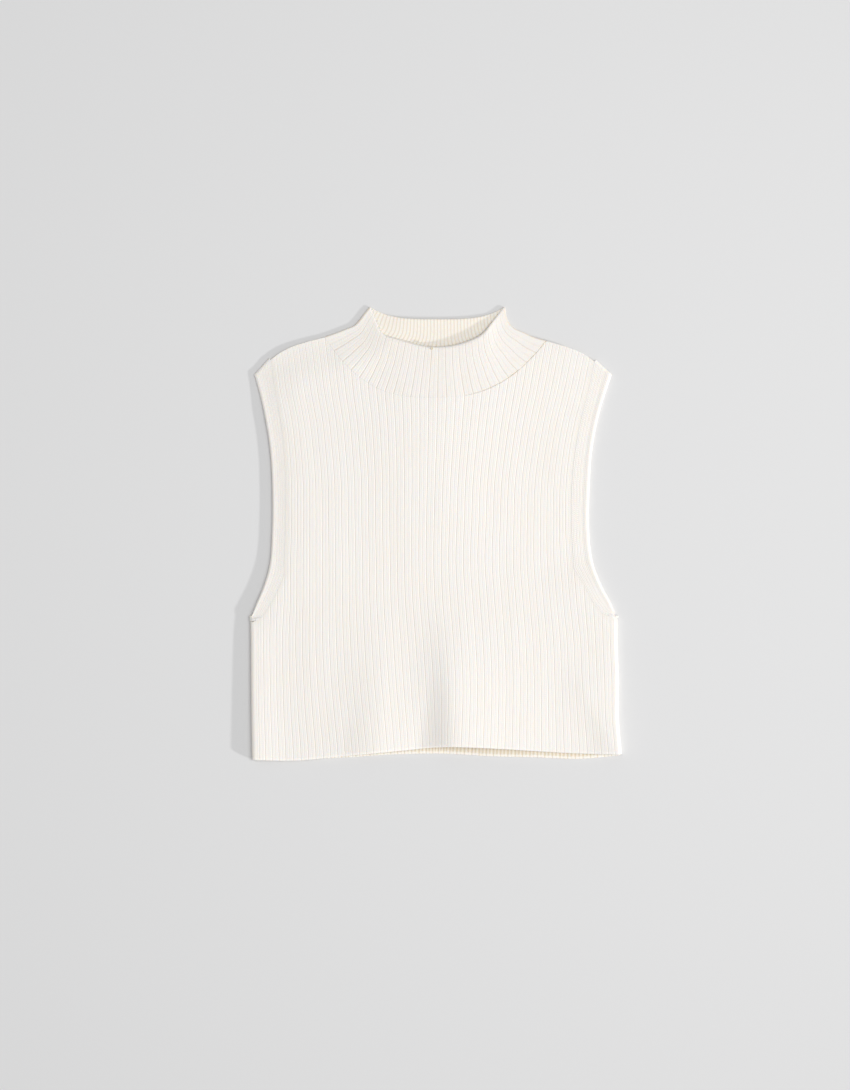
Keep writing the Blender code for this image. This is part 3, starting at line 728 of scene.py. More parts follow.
def front_panel(material, origin):
    ribs = side_columns(rib_columns(-SIDE_RIBS, SIDE_RIBS, RIB_COLUMNS))
    grid = WallGrid(ribs, front_hem, front_top, row_shares(FRONT_BODY_ROWS),
                    row_shares(FRONT_YOKE_ROWS, close_start=False), FRONT_TOOTH)
    held = np.clip(ribs, -SIDE_RIBS, SIDE_RIBS)
    out = np.sign(ribs)
    reach = np.where(out < 0, SIDE_TURN_LEFT, SIDE_TURN_RIGHT)
    x = grid.x - out * reach * ease((abs(held) - SIDE_RIBS + SIDE_TURN_SPREAD) / SIDE_TURN_SPREAD)
    relief = rib_relief(held, grid.y)
    relief = np.where(abs(held) > SIDE_RIBS - 0.5, np.maximum(relief, 1 - MID_DIP), relief)
    relief = run_out(relief, grid.to_band)
    free = edge_share(grid.from_hem, EDGE_ROUND, EDGE_LEFT)
    seam, seam_shade = neck_seam(held, grid.to_end)
    lay = front_lay(grid.x, grid.y)
    z = lay + (WALL + RIB_HEIGHT * relief) * free * seam
    # Past the last rib the wall turns over the side and down to the surface.
    turn = np.clip(abs(ribs) - SIDE_RIBS, 0, 1) * SIDE_TURN_END
    middle, half = (z + SIDE_FOOT) / 2, (z - SIDE_FOOT) / 2
    z = np.where(turn > 0, middle + half * np.cos(turn), z)
    x = x + out * reach * np.sin(turn)
    shell = Shell()
    wale = WALES_PER_RIB * (held + out * turn / tau)
    fine = shell.add(x, grid.y, z, wale, grid.course, relief * seam_shade, grid.there)
    at_groove = (held % 1 == 0) & (abs(ribs) <= SIDE_RIBS)
    plain = shell.add(x, grid.y, lay, wale, grid.course, PLAIN_SHADE, grid.there & at_groove)
    shell.skin(fine)
    shell.skin(plain[:, at_groove])
    first, last = SIDE_TURN_STEPS, len(ribs) - 1 - SIDE_TURN_STEPS
    plain[:, 0], plain[:, -1] = plain[:, first], plain[:, last]
    grid.close(shell, fine, plain)
    return shell.object("front_knit", material, origin)


def back_panel(material, origin):
    """The back lies on the surface, ribbed on both sides. A rib inside lies over a groove outside."""
    ribs = rib_columns(-SIDE_RIBS, SIDE_RIBS, BACK_COLUMNS)
    grid = WallGrid(ribs, back_hem, back_top, row_shares(BACK_BODY_ROWS),
                    row_shares(BACK_YOKE_ROWS, close_start=False), BACK_TOOTH)
    tuck = BACK_TUCK * ease(abs(ribs) - SIDE_RIBS + 1) * (grid.to_end > 1)
    x = grid.x - np.sign(ribs) * tuck
    free = edge_share(grid.from_hem, EDGE_ROUND, EDGE_LEFT)
    seam = edge_share(grid.to_end, SEAM_ROUND, SEAM_LEFT)
    side = edge_share(SIDE_RIBS - abs(ribs), BACK_SIDE_ROUND, EDGE_LEFT)
    inside = rib_relief(ribs + 0.5, grid.y)
    outside = rib_profile(ribs)
    high = WALL - BACK_INSIDE_RIB * (1 - inside)
    low = BACK_OUTSIDE_RIB * (1 - outside)
    middle = (high + low) / 2
    left = free * seam * side
    # Painted shade on the back's inside above its row of loops: darker all over, and in ticks at each groove.
    tick_shade = GROOVE_DEPTH * abs(np.cos(tau * ribs)) ** TICK_SHADE_POWER
    shown = inside - ease(grid.from_hem - LOOP_ROW) * (DEEP_SHADE * GROOVE_DEPTH + tick_shade)
    shell = Shell()
    wale = WALES_PER_RIB * ribs
    # The back's inner face takes the inside's painted warm shade.
    top = shell.add(x, grid.y, middle + (high - middle) * left, wale, grid.course, shown, grid.there, 1.0)
    under = shell.add(x, grid.y, middle + (low - middle) * left, wale, grid.course, outside, grid.there)
    shell.skin(top)
    shell.skin(under)
    grid.close(shell, top, under)
    return shell.object("back_knit", material, origin)


# ---------------------------------------------------------------- the armhole bands

BAND_STEPS = 130
BAND_COLUMNS = 30
BAND_SEAM_HEIGHT = WALL + PLAIN_LEVEL * RIB_HEIGHT  # flush with the ribs that run out into it
BAND_SINK = 0.2  # how far the plain knit sinks from its seam to its rolled edge
BAND_ROLL_START = 0.66  # share of the band's width, where its rolled free edge begins
BAND_ROLL_LEFT = 0.10
BAND_ROLL_RIGHT = 0.28
BAND_ROLL_LEAN = 0.8
BAND_ROLL_POWER = 0.9
BAND_LINE = 0.08  # how deep the line is between the band and its rolled edge, on the right
BAND_LINE_WIDTH = 0.04
BAND_EDGE_ROUND = 0.13  # share of the width over which the free edge rounds over
BAND_EDGE_LEFT = 0.15
BAND_UNDER = (0.985, 0.5, 0.0)  # where across it the points of its plain side lie
BAND_WALES = 6
BAND_WALE_HEIGHT = 0.05
BAND_WALE_START = 0.2  # share of the width over which they reach that height
BAND_SHADE = 0.96
BAND_WALE_SHADE = 0.04
BAND_UNDER_SHADE = 0.8
BAND_CROWDING = 0.9  # under 1, its columns of points lie closer at the free edge
BAND_FOLD_GAP = 0.02
BAND_SEAM_POINTS = 30
BAND_EDGE_POINTS = 80
BAND_FOLD_STEPS = 7
BAND_LIFT = 0.5  # how far the left band's free edge stands up near the underarm
BAND_LIFT_TOP = 330.0


def band_profile(across, side):
    """The band's height over its underside, from its seam to its free edge, which rolls up."""
    plain = BAND_SEAM_HEIGHT - BAND_SINK * ease(across / BAND_ROLL_START)
    line = BAND_LINE * (side > 0) * np.exp(-((across - BAND_ROLL_START) / BAND_LINE_WIDTH) ** 2)
    rolled = np.clip((across - BAND_ROLL_START) / (1 - BAND_ROLL_START), 0, 1)
    bulge = np.sin(pi * rolled ** BAND_ROLL_LEAN) ** BAND_ROLL_POWER
    roll = (BAND_ROLL_RIGHT if side > 0 else BAND_ROLL_LEFT) * bulge
    wales = BAND_WALE_HEIGHT * np.cos(tau * BAND_WALES * across) * ease(across / BAND_WALE_START)
    return (plain + roll - line + wales) * edge_share(1 - across, BAND_EDGE_ROUND, BAND_EDGE_LEFT)


def moved_aside(points, distance):
    """A polyline moved to its left in plan, or to its right by a negative distance."""
    points = np.array(points, float)
    directions = np.gradient(points, axis=0)
    normals = np.stack([-directions[:, 1], directions[:, 0]], axis=1)
    return points + distance * normals / np.linalg.norm(normals, axis=1, keepdims=True)


def band_lines(side):
    """The band's seam and its free edge, from the underarm up, as functions of a share."""
    underarm = UNDERARM_LEFT if side < 0 else UNDERARM_RIGHT
    ends = np.arange(SIDE_RIBS, YOKE_RIBS, -1)
    heights = np.array(underarm[:0:-1], float)
    seam = np.stack([rib_x(side * ends, heights), heights], axis=1)
    start = WALL / abs(seam[1, 0] - seam[0, 0])
    seam[0] = (1 - start) * seam[0] + start * seam[1]
    top = float(meet(np.array([side * YOKE_RIBS]), front_top, NECK_POINT_LEFT_HEIGHT)[0])
    yoke_heights = np.linspace(underarm[0], top, BAND_SEAM_POINTS)
    yoke = np.stack([rib_x(side * YOKE_RIBS, yoke_heights), yoke_heights], axis=1)
    seam_at = along(moved_aside(np.concatenate([seam, yoke]), -side * (SEAM_GAP - SEAM_CLOSE)))
    return seam_at, along(armhole_edge(side, BAND_EDGE_POINTS))


def armhole_band(name, side, material, origin):
    """A plain knit strip round the armhole, folded flat at the shoulder tip and under the arm."""
    seam_at, free_at = band_lines(side)
    across = np.linspace(0, 1, BAND_COLUMNS) ** BAND_CROWDING
    thick = band_profile(across, side)
    shares = np.linspace(0, 1, BAND_STEPS + 1)
    angles = pi * np.arange(1, BAND_FOLD_STEPS) / BAND_FOLD_STEPS
    # A closed section: over the band from the seam to the free edge, and back along its plain side.
    over = np.concatenate([across, BAND_UNDER])
    height = np.concatenate([thick, np.zeros(len(BAND_UNDER))])

    def plan(share):
        inner, outer = seam_at(share), free_at(share)
        return inner + over[:, None] * (outer - inner)

    def lay_at(flat):
        near = np.clip((BAND_LIFT_TOP - flat[:, 1]) / (BAND_LIFT_TOP - ARMHOLE_EDGE[0].height), 0, 1)
        lift = BAND_LIFT * over ** 2 * near * (side < 0)
        return front_lay(flat[:, 0], flat[:, 1]) + lift

    def turned(share, angle):
        """A section where the strip turns over from the front to the back."""
        line = free_at(share) - seam_at(share)
        square = np.array([line[1], -line[0]]) / np.linalg.norm(line)
        ahead = seam_at(1.0) - seam_at(0.0)
        out = 1 if share == 1 else -1
        square = square if (square @ ahead) * out > 0 else -square
        flat = plan(share)
        lay = lay_at(flat)
        turned_height = height + (under - height) * angle / pi
        radius = (lay - WALL) / 2 + turned_height
        flat = flat + (radius * sin(angle))[:, None] * square
        return np.column_stack([flat, (lay + WALL) / 2 + radius * cos(angle)])

    sections, run = [], []
    under = np.minimum(height, WALL - BAND_FOLD_GAP)
    length = np.linalg.norm(np.diff(seam_at(shares), axis=0), axis=1).sum()
    for share in shares:
        flat = plan(share)
        sections.append(np.column_stack([flat, lay_at(flat) + height]))
        run.append(share * length)
    for angle in angles:
        sections.append(turned(1.0, angle))
        run.append(length + angle)
    for share in shares[::-1]:
        sections.append(np.column_stack([plan(share), WALL - under]))
        run.append(length + (1 - share) * length)
    for angle in angles[::-1]:
        sections.append(turned(0.0, angle))
        run.append(2 * length + angle)
    points = np.array(sections).transpose(1, 0, 2)
    shell = Shell()
    shade = BAND_SHADE + BAND_WALE_SHADE * np.cos(tau * BAND_WALES * across)
    relief = np.concatenate([shade, np.full(len(BAND_UNDER), BAND_UNDER_SHADE)])
    index = shell.add(points[..., 0], points[..., 1], points[..., 2], BAND_WALES * over[:, None],
                      np.array(run)[None, :] / COURSE, relief[:, None])
    shell.skin(np.concatenate([index, index[:1]]), closed=True)
    return shell.object(name, material, origin)


# ---------------------------------------------------------------- the collar

COLLAR_FOLD_STEPS = 8
COLLAR_LENGTH = 56.0  # from the neck seam to the edge
COLLAR_FRONT_RIBS = NECK_RIBS_LEFT + NECK_RIBS_RIGHT
COLLAR_BACK_RIBS = 20
FRONT_BOW_REACH = 4.5  # the higher, the sooner the bow of a folded side dies away from it
BACK_BOW_REACH = 9.0
BACK_SPREAD = 5.0  # the higher, the nearer to the seam the back's ribs spread out
INSIDE_RIB_HEIGHT = 0.5
COLLAR_EDGE_LEFT = 0.45
COLLAR_INSIDE_SINK = 0.1  # how far the inside of its back lies under the wall's thickness
COLLAR_FOOT = 0.1  # how near its folds come to the surface
COLLAR_TURN = 0.8  # how far its folds reach out, as a share of the wall
COLLAR_PLAIN_SHADE = 0.6
DARK_GROOVE_WIDTH = 0.06  # of a rib
DARK_GROOVE_START = 0.5  # from here to the edge, the middle groove is darker
DARK_GROOVE_RISE = 2.5  # the higher, the sooner it is fully dark
INSIDE_LINE = 0.6  # on the inside the two lines of each rib show alike
INSIDE_LINE_POWER = 6
COLLAR_RIB_CHANGE = 3  # the higher, the sooner its ribs have their own height
MOUTH_OPENING = 6  # the higher, the nearer to the folds its inner ribs begin
COLLAR_EDGE_POINTS = 60


def fold_line(side):
    """A folded side of the collar, from the neck point to its tip."""
    neck_x, neck_y = NECK_POINT_LEFT if side < 0 else NECK_POINT_RIGHT
    shares = [0.0] + column(COLLAR_FOLDS, "share")
    return smooth_through(shares, [(neck_x, neck_y + SEAM_GAP)] + fold_points(side))


def collar_sheet(seam, edge, bow_reach, spread):
    """A sheet from the neck seam to the edge, for shares across (a row of them) and up (a column of them). It
    follows the folded sides, whose bow dies away from them. A spread over 1 keeps the ribs upright above the
    seam, and they fan out close to it."""

    def points(across, up):
        share = across[None, :, None]
        rise = np.stack([1 - (1 - up) ** spread, up], axis=-1)[:, None, :]
        sheet = (1 - rise) * seam(across)[None, :, :] + rise * edge(across)[None, :, :]
        for line, near in ((fold_line(-1), 1 - share), (fold_line(1), share)):
            straight = (1 - rise[:, 0]) * line(0.0) + rise[:, 0] * line(1.0)
            sheet = sheet + near ** bow_reach * (line(up) - straight)[:, None, :]
        return sheet

    return points


def collar_seam(top):
    """The collar's seam along the top of a panel, as a function of a share."""

    def points(share):
        rib = share * COLLAR_FRONT_RIBS - NECK_RIBS_LEFT
        height = meet(rib, top, NECK_POINT_LEFT_HEIGHT)
        return np.stack([rib_x(rib, height), height + SEAM_GAP - SEAM_CLOSE], axis=-1)

    return points


def collar_front_edge():
    shares = np.linspace(0, 1, len(COLLAR_FRONT_EDGE))
    edge = smooth_through(shares, COLLAR_FRONT_EDGE)
    return along(edge(np.linspace(0, 1, COLLAR_EDGE_POINTS)))


def collar_back_edge(share):
    left, right = np.array(COLLAR_FRONT_EDGE[0]), np.array(COLLAR_FRONT_EDGE[-1])
    share = np.asarray(share, float)[..., None]
    dip = COLLAR_BACK_DIP * (1 - abs(2 * share - 1) ** COLLAR_BACK_CURVE)
    return (1 - share) * left + share * right - dip * np.array([0, 1])


def collar_front_sheet():
    return collar_sheet(collar_seam(front_top), collar_front_edge(), FRONT_BOW_REACH, 1.0)


def collar_back_sheet():
    return collar_sheet(collar_seam(back_top), collar_back_edge, BACK_BOW_REACH, BACK_SPREAD)


def mouth_arch(share):
    return ease(np.minimum(share / MOUTH_ARCH_LEFT, (1 - share) / MOUTH_ARCH_RIGHT))


def collar_lay(share, seam, up):
    """The height of the plain side of the collar's front, over the points of its seam."""
    lay = front_lay(seam[..., 0], seam[..., 1])
    return lay * (1 - up) + (LAY + TIP_LIFT + MOUTH_LIFT * mouth_arch(share)) * up


def collar(material, origin):
    """One flattened ring of ribbed knit, with a fold at each side and its mouth a little open."""
    front, back = collar_front_sheet(), collar_back_sheet()
    front_ribs = rib_columns(0, COLLAR_FRONT_RIBS, RIB_COLUMNS)
    back_ribs = rib_columns(0, COLLAR_BACK_RIBS, RIB_COLUMNS)
    front_shares, back_shares = front_ribs / COLLAR_FRONT_RIBS, back_ribs / COLLAR_BACK_RIBS
    front_plain = np.arange(COLLAR_FRONT_RIBS + 1) / COLLAR_FRONT_RIBS
    back_plain = np.arange(COLLAR_BACK_RIBS + 1) / COLLAR_BACK_RIBS
    t = row_shares(COLLAR_ROW_COUNT)
    up = t[:, None]
    front_fine, front_coarse = front(front_shares, t), front(front_plain, t)
    back_fine, back_coarse = back(back_shares, t), back(back_plain, t)
    panel_rib = front_ribs[None, :] - NECK_RIBS_LEFT
    relief = rib_relief(panel_rib, front_fine[..., 1])
    seam, seam_shade = neck_seam(panel_rib, up * COLLAR_LENGTH)
    edge = edge_share((1 - up) * COLLAR_LENGTH, EDGE_ROUND, COLLAR_EDGE_LEFT)
    rib_height = RIB_HEIGHT + (COLLAR_RIB_HEIGHT - RIB_HEIGHT) * ease(up * COLLAR_RIB_CHANGE)
    lay_fine = collar_lay(front_shares, front_fine[0], up)
    lay_coarse = collar_lay(front_plain, front_coarse[0], up)
    outer_z = lay_fine + (WALL + rib_height * relief) * seam * edge
    opened = ease(np.minimum(back_shares, 1 - back_shares) * MOUTH_OPENING)
    lines = abs(np.cos(tau * back_ribs[None, :])) ** INSIDE_LINE_POWER
    inner_relief = 1 - GROOVE_DEPTH * INSIDE_LINE * lines + 0 * up
    rounded = WALL * (1 - edge) * 0.5
    shown_z = WALL - COLLAR_INSIDE_SINK + opened * INSIDE_RIB_HEIGHT * inner_relief * edge - rounded
    under_z = rounded + 0 * back_plain
    angles = pi * np.arange(1, COLLAR_FOLD_STEPS) / COLLAR_FOLD_STEPS

    def turn(side):
        """The rounded fold at one side, from the front to the back."""
        column_at = front_fine[:, -1 if side > 0 else 0]
        top = outer_z[:, -1 if side > 0 else 0][:, None]
        middle, half = (top + COLLAR_FOOT) / 2, (top - COLLAR_FOOT) / 2
        x = column_at[:, :1] + side * (WALL * COLLAR_TURN) * np.sin(angles)
        return x, column_at[:, 1:2] + 0 * angles, middle + half * np.cos(angles)

    right, left = turn(1), [values[:, ::-1] for values in turn(-1)]
    outer_x, outer_y = (
        np.concatenate([front_fine[..., k], right[k], back_coarse[:, ::-1, k], left[k]], axis=1)
        for k in (0, 1)
    )
    outer_z = np.concatenate([outer_z, right[2], under_z[:, ::-1], left[2]], axis=1)
    fold = len(angles)
    plain_count = outer_x.shape[1] - len(front_ribs)
    outer_rib = np.concatenate([front_ribs, np.full(fold, COLLAR_FRONT_RIBS),
                                COLLAR_FRONT_RIBS * back_plain[::-1], np.zeros(fold)])
    plain_shade = np.full((len(t), plain_count), COLLAR_PLAIN_SHADE)
    outer_relief = np.concatenate([relief * seam_shade, plain_shade], axis=1)
    inner_x, inner_y = (
        np.concatenate([front_coarse[..., k], back_fine[:, ::-1, k]], axis=1)
        for k in (0, 1)
    )
    inner_z = np.concatenate([lay_coarse, shown_z[:, ::-1]], axis=1)
    inner_rib = np.concatenate([front_plain * COLLAR_FRONT_RIBS, back_ribs[::-1]])
    plain_shade = np.full((len(t), len(front_plain)), PLAIN_SHADE)
    inner_relief = np.concatenate([plain_shade, inner_relief[:, ::-1]], axis=1)
    shell = Shell()
    course = up * COLLAR_LENGTH / COURSE
    # The middle groove is darker towards the edge, in the inside's colours.
    near_edge = ease((up - DARK_GROOVE_START) / (1 - DARK_GROOVE_START) * DARK_GROOVE_RISE)
    darker_middle_groove = (abs(outer_rib - NECK_RIBS_LEFT) < DARK_GROOVE_WIDTH) * near_edge
    darker_middle_groove[:, len(front_ribs):] = 0
    outside = shell.add(outer_x, outer_y, outer_z, WALES_PER_RIB * outer_rib[None, :], course, outer_relief,
                        inside=darker_middle_groove)
    # The collar's inner faces take the inside's painted warm shade.
    inside = shell.add(inner_x, inner_y, inner_z, WALES_PER_RIB * inner_rib[None, :], course, inner_relief,
                       inside=1.0)
    shell.skin(outside, closed=True)
    shell.skin(inside, closed=True)
    close_collar(shell, outside, inside, fold)
    return shell.object("collar_knit", material, origin)


def close_collar(shell, outside, inside, fold):
    """Joins the collar's two sides along its seam and along its edge, rib by rib and over the folds."""
    step = len(RIB_COLUMNS)
    front_end = COLLAR_FRONT_RIBS * step
    back_start = front_end + 1 + fold
    for row in (0, -1):
        out, ins = outside[row], inside[row]
        for k in range(COLLAR_FRONT_RIBS):
            shell.face(list(out[k * step:(k + 1) * step + 1]) + [ins[k + 1], ins[k]])
        for k in range(COLLAR_BACK_RIBS):
            start = COLLAR_FRONT_RIBS + 1 + k * step
            shown = list(ins[start:start + step + 1])
            shell.face(list(out[back_start + k:back_start + k + 2]) + shown[::-1])
        inner_ends = [ins[COLLAR_FRONT_RIBS + 1], ins[COLLAR_FRONT_RIBS]]
        shell.face(list(out[front_end:back_start + 1]) + inner_ends)
        shell.face(list(out[back_start + COLLAR_BACK_RIBS:]) + [out[0], ins[0], ins[-1]])


# ---------------------------------------------------------------- the yarn of the edges

CHAIN_PITCH = 3.6
HEM_CHAIN_COLUMNS = (0.0, 0.25, 0.5, 0.75)  # shares of a rib
CHAIN_STEPS = 6  # points on each loop of a chain
CHAIN_RADIUS = 0.42
CHAIN_WAVE = 0.35
HEM_CHAIN_OUT = 0.35  # how far the chain lies from the knit's edge, and how high up its wall
HEM_CHAIN_UP = 0.30
COLLAR_CHAIN_IN = 0.2
COLLAR_CHAIN_UP = 0.62
COLLAR_CHAIN_POINTS = 120

LOOSE_LOOPS = 7  # at the collar's left tip
LOOSE_START = 0.015  # where on the collar's edge they start, and how much of it they take up
LOOSE_SPAN = 0.17
LOOSE_SHIFT = 0.2
LOOSE_REACH = 1.5
LOOSE_REACHES = (0.7, 1.2)  # the least and the most of that
LOOSE_HALF_WIDTH = 1.1
LOOSE_LIFT = 0.5
LOOSE_RADIUS = 0.38
LOOSE_POINTS = 7

KNOT_TURNS = 1.7
KNOT_REACH = (0.8, 1.3)
KNOT_DROP = 1.4  # how far it lies under the collar's edge
KNOT_LIFT = 0.1
KNOT_RISE = 0.12  # over half a turn
KNOT_RADIUS = 0.7
KNOT_POINTS = 22
# A dark colour for the knot, and painted shade for the seam stitches, which stand for the dark gaps of the
# neck seam.
DARK_KNOT_AND_SEAM_SHADE = {"relief": 0.1, "inside": 1.0}

SEAM_STITCH_RIBS = (5.5, 12.8, 0.6)  # first, end and step, in ribs from the middle
SEAM_STITCH_SPAN = 0.32
SEAM_STITCH_UP = 0.15
SEAM_STITCH_LAY = 2.35
SEAM_STITCH_RADIUS = 0.3

ARM_LOOPS = 5  # under the left arm
ARM_LOOP_FIRST = (-203.4, 155.9)
ARM_LOOP_STEP = (2.3, 0.35)
ARM_LOOP_REACH = (0.8, 2.1)
ARM_LOOP_DROP = 0.6
ARM_LOOP_LIFT = 0.2
ARM_LOOP_OVERTURN = 0.3
ARM_LOOP_POINTS = 8
ARM_LOOP_SINK = 0.3  # how far the loops lie in the tack
UNDERARM_TACKS = (
    ((-204.2, 156.4), (-201.0, 157.0), (-197.6, 158.0), (-194.0, 159.4), (-190.6, 161.0)),
    ((187.6, 163.2), (190.6, 161.6), (193.6, 160.2), (196.6, 158.8), (199.6, 157.8)),
)
TACK_RADIUS = 2.6
TACK_PROUD = 0.1  # how far its top stands over the ribs
TACK_SIDES = 10


def chain(shell, points):
    """A chain of small loops along a line, as knitting has at its first and last rows."""
    points = np.asarray(points, float)
    count = max(2, round(np.linalg.norm(np.diff(points, axis=0), axis=1).sum() / CHAIN_PITCH))
    share = np.linspace(0, 1, CHAIN_STEPS * count + 1)
    place = along(points)(share)
    place[:, 2] += CHAIN_WAVE * np.abs(np.sin(pi * count * share))
    shell.strand(place, CHAIN_RADIUS)


def hem_yarn(shell):
    """The first row of the front, at its hem."""
    across = rib_columns(-SIDE_RIBS, SIDE_RIBS, HEM_CHAIN_COLUMNS)
    height = meet(across, front_hem, 0.0)
    x = rib_x(across, height)
    y = height + HEM_CHAIN_OUT - FRONT_TOOTH * (rib_profile(across) - 0.5)
    one_rib = len(HEM_CHAIN_COLUMNS)
    chain(shell, np.stack([x, y, front_lay(x, y) + HEM_CHAIN_UP * WALL], axis=1)[one_rib:-one_rib])


def collar_yarn(shell):
    """The last row of the collar's front, the loose loops at its left tip and the knot at its middle."""
    share = np.linspace(0.0, 1.0, COLLAR_CHAIN_POINTS)
    front = collar_front_sheet()
    top = front(share, np.array([1.0]))[0]
    seam = front(share, np.array([0.0]))[0]
    lay = collar_lay(share, seam, 1.0)
    chain(shell, np.column_stack([top[:, 0], top[:, 1] - COLLAR_CHAIN_IN, lay + COLLAR_CHAIN_UP * WALL]))

    def on_edge(at):
        return [np.interp(at, share, values) for values in (top[:, 0], top[:, 1], lay)]

    values = np.random.default_rng(SEED + 9)
    turn = np.linspace(0, pi, LOOSE_POINTS)
    for k in range(LOOSE_LOOPS):
        at = LOOSE_START + LOOSE_SPAN * (k + values.uniform(-LOOSE_SHIFT, LOOSE_SHIFT)) / LOOSE_LOOPS
        x, y, base = on_edge(at)
        reach = LOOSE_REACH * values.uniform(*LOOSE_REACHES)
        loop = np.stack([x + reach * np.sin(turn), y + LOOSE_HALF_WIDTH * np.cos(turn),
                         base + WALL + LOOSE_LIFT * np.sin(turn)], axis=1)
        shell.strand(loop, LOOSE_RADIUS)
    x, y, base = on_edge(NECK_RIBS_LEFT / COLLAR_FRONT_RIBS)
    turn = np.linspace(0, KNOT_TURNS * tau, KNOT_POINTS)
    knot = np.stack([x + KNOT_REACH[0] * np.cos(turn), y - KNOT_DROP + KNOT_REACH[1] * np.sin(turn),
                     base + WALL + COLLAR_RIB_HEIGHT + KNOT_LIFT + KNOT_RISE * turn / pi], axis=1)
    shell.strand(knot, KNOT_RADIUS, **DARK_KNOT_AND_SEAM_SHADE)


def seam_yarn(shell):
    """The seam stitches that show in the ribs' grooves, on the right of the neck, coloured dark as painted
    shade of the seam's gaps.
    """
    for rib in np.arange(*SEAM_STITCH_RIBS):
        across = rib + np.array([-0.5, 0.0, 0.5]) * SEAM_STITCH_SPAN
        height = meet(across, front_top, NECK_POINT_LEFT_HEIGHT)
        x = rib_x(across, height)
        z = front_lay(x, height) + SEAM_STITCH_LAY
        stitch = np.stack([x, height + SEAM_STITCH_UP, z], axis=1)
        shell.strand(stitch, SEAM_STITCH_RADIUS, **DARK_KNOT_AND_SEAM_SHADE)


def underarm_yarn(shell):
    """Small loops under the left arm, and the tacks that close both underarms."""
    turn = np.linspace(-ARM_LOOP_OVERTURN, pi + ARM_LOOP_OVERTURN, ARM_LOOP_POINTS)
    for k in range(ARM_LOOPS):
        x, y = (first + step * k for first, step in zip(ARM_LOOP_FIRST, ARM_LOOP_STEP))
        base = front_lay(x, y) + WALL + RIB_HEIGHT - ARM_LOOP_SINK
        loop = np.stack([x + ARM_LOOP_REACH[0] * np.cos(turn),
                         y + ARM_LOOP_REACH[1] * np.sin(turn) - ARM_LOOP_DROP,
                         base + ARM_LOOP_LIFT * np.sin(turn)], axis=1)
        shell.strand(loop, CHAIN_RADIUS)
    for tack in UNDERARM_TACKS:
        tack = np.array(tack)
        z = front_lay(tack[:, 0], tack[:, 1]) + WALL + RIB_HEIGHT + TACK_PROUD - TACK_RADIUS
        shell.strand(np.column_stack([tack, z]), TACK_RADIUS, sides=TACK_SIDES)


def edge_yarn(material, origin):
    """The yarn that shows at the hem, the collar's edge, the neck seam and the underarms."""
    shell = Shell()
    for part in (hem_yarn, collar_yarn, seam_yarn, underarm_yarn):
        part(shell)
    return shell.object("edge_yarn", material, origin)


# ---------------------------------------------------------------- materials

KNIT_COLOUR = (0.893, 0.866, 0.832)
# Painted shade: the grooves' colour stands for the shade in the grooves, mixed in where the relief sinks.
GROOVE_SHADE_COLOUR = (0.845, 0.790, 0.715)
BAND_COLOUR = (0.898, 0.868, 0.833)
COLLAR_COLOUR = (0.892, 0.861, 0.826)
# Painted shade: the collar's groove colour stands for the shade in its grooves.
COLLAR_GROOVE_SHADE_COLOUR = (0.790, 0.725, 0.640)
# Painted shade: the inside's colours stand for the warmer, darker light on inner faces, in the collar's mouth
# and under the front's hem.
INSIDE_SHADE_COLOUR = (0.925, 0.880, 0.812)
INSIDE_GROOVE_SHADE_COLOUR = (0.74, 0.65, 0.50)
WARM = (1.0, 0.985, 0.96)
COOL = (0.995, 1.0, 1.01)
PATCH_SCALE = 22.0  # of the slow change between warm and cool
PATCH_DETAIL = 3.0
FIBRE_SCALE = 1600.0
FIBRE_SHARE = 0.35
BUMP_REACH = 0.45
KNIT_BUMP = 0.3
BAND_BUMP = 0.5
COLLAR_BUMP = 0.22
STITCH_LEAN = 0.62  # how far the legs of a stitch rise from its middle, in courses
LEG_POWER = 0.6
LEG_WAVE = 0.30
LEG_EVEN = 0.70
KNIT_SURFACE = {
    "Roughness": 0.92,
    "Specular IOR Level": 0.25,
    "Sheen Weight": 0.12,
    "Sheen Roughness": 0.5,
    "Subsurface Weight": 0.35,
    "Subsurface Radius": (1.0, 0.8, 0.6),
    "Subsurface Scale": 1.1 * MM,
}


class Nodes:
    """Short ways to add shader nodes to a material."""

    def __init__(self, material):
        material.use_nodes = True
        self.tree = material.node_tree
        self.shader = self.tree.nodes["Principled BSDF"]

    def set(self, values):
        for name, value in values.items():
            self.shader.inputs[name].default_value = value

    def link(self, source, target):
        self.tree.links.new(source, target)

    def add(self, kind, **settings):
        node = self.tree.nodes.new(kind)
        for name, value in settings.items():
            setattr(node, name, value)
        return node

    def math(self, operation, first, second=None, third=None):
        node = self.add("ShaderNodeMath", operation=operation)
        for socket, value in zip(node.inputs, (first, second, third)):
            if value is None:
                continue
            if isinstance(value, (int, float)):
                socket.default_value = value
            else:
                self.link(value, socket)
        return node.outputs[0]

    def noise(self, vector, scale, detail=2.0):
        node = self.add("ShaderNodeTexNoise")
        node.inputs["Scale"].default_value = scale
        node.inputs["Detail"].default_value = detail
        self.link(vector, node.inputs["Vector"])
        return node.outputs["Fac"]

    def mix(self, share, first, second):
        node = self.add("ShaderNodeMix", data_type="RGBA")
        for socket, value in ((node.inputs[0], share), (node.inputs[6], first), (node.inputs[7], second)):
            if isinstance(value, tuple):
                socket.default_value = (*value, 1)
            else:
                self.link(value, socket)
        return node.outputs[2]


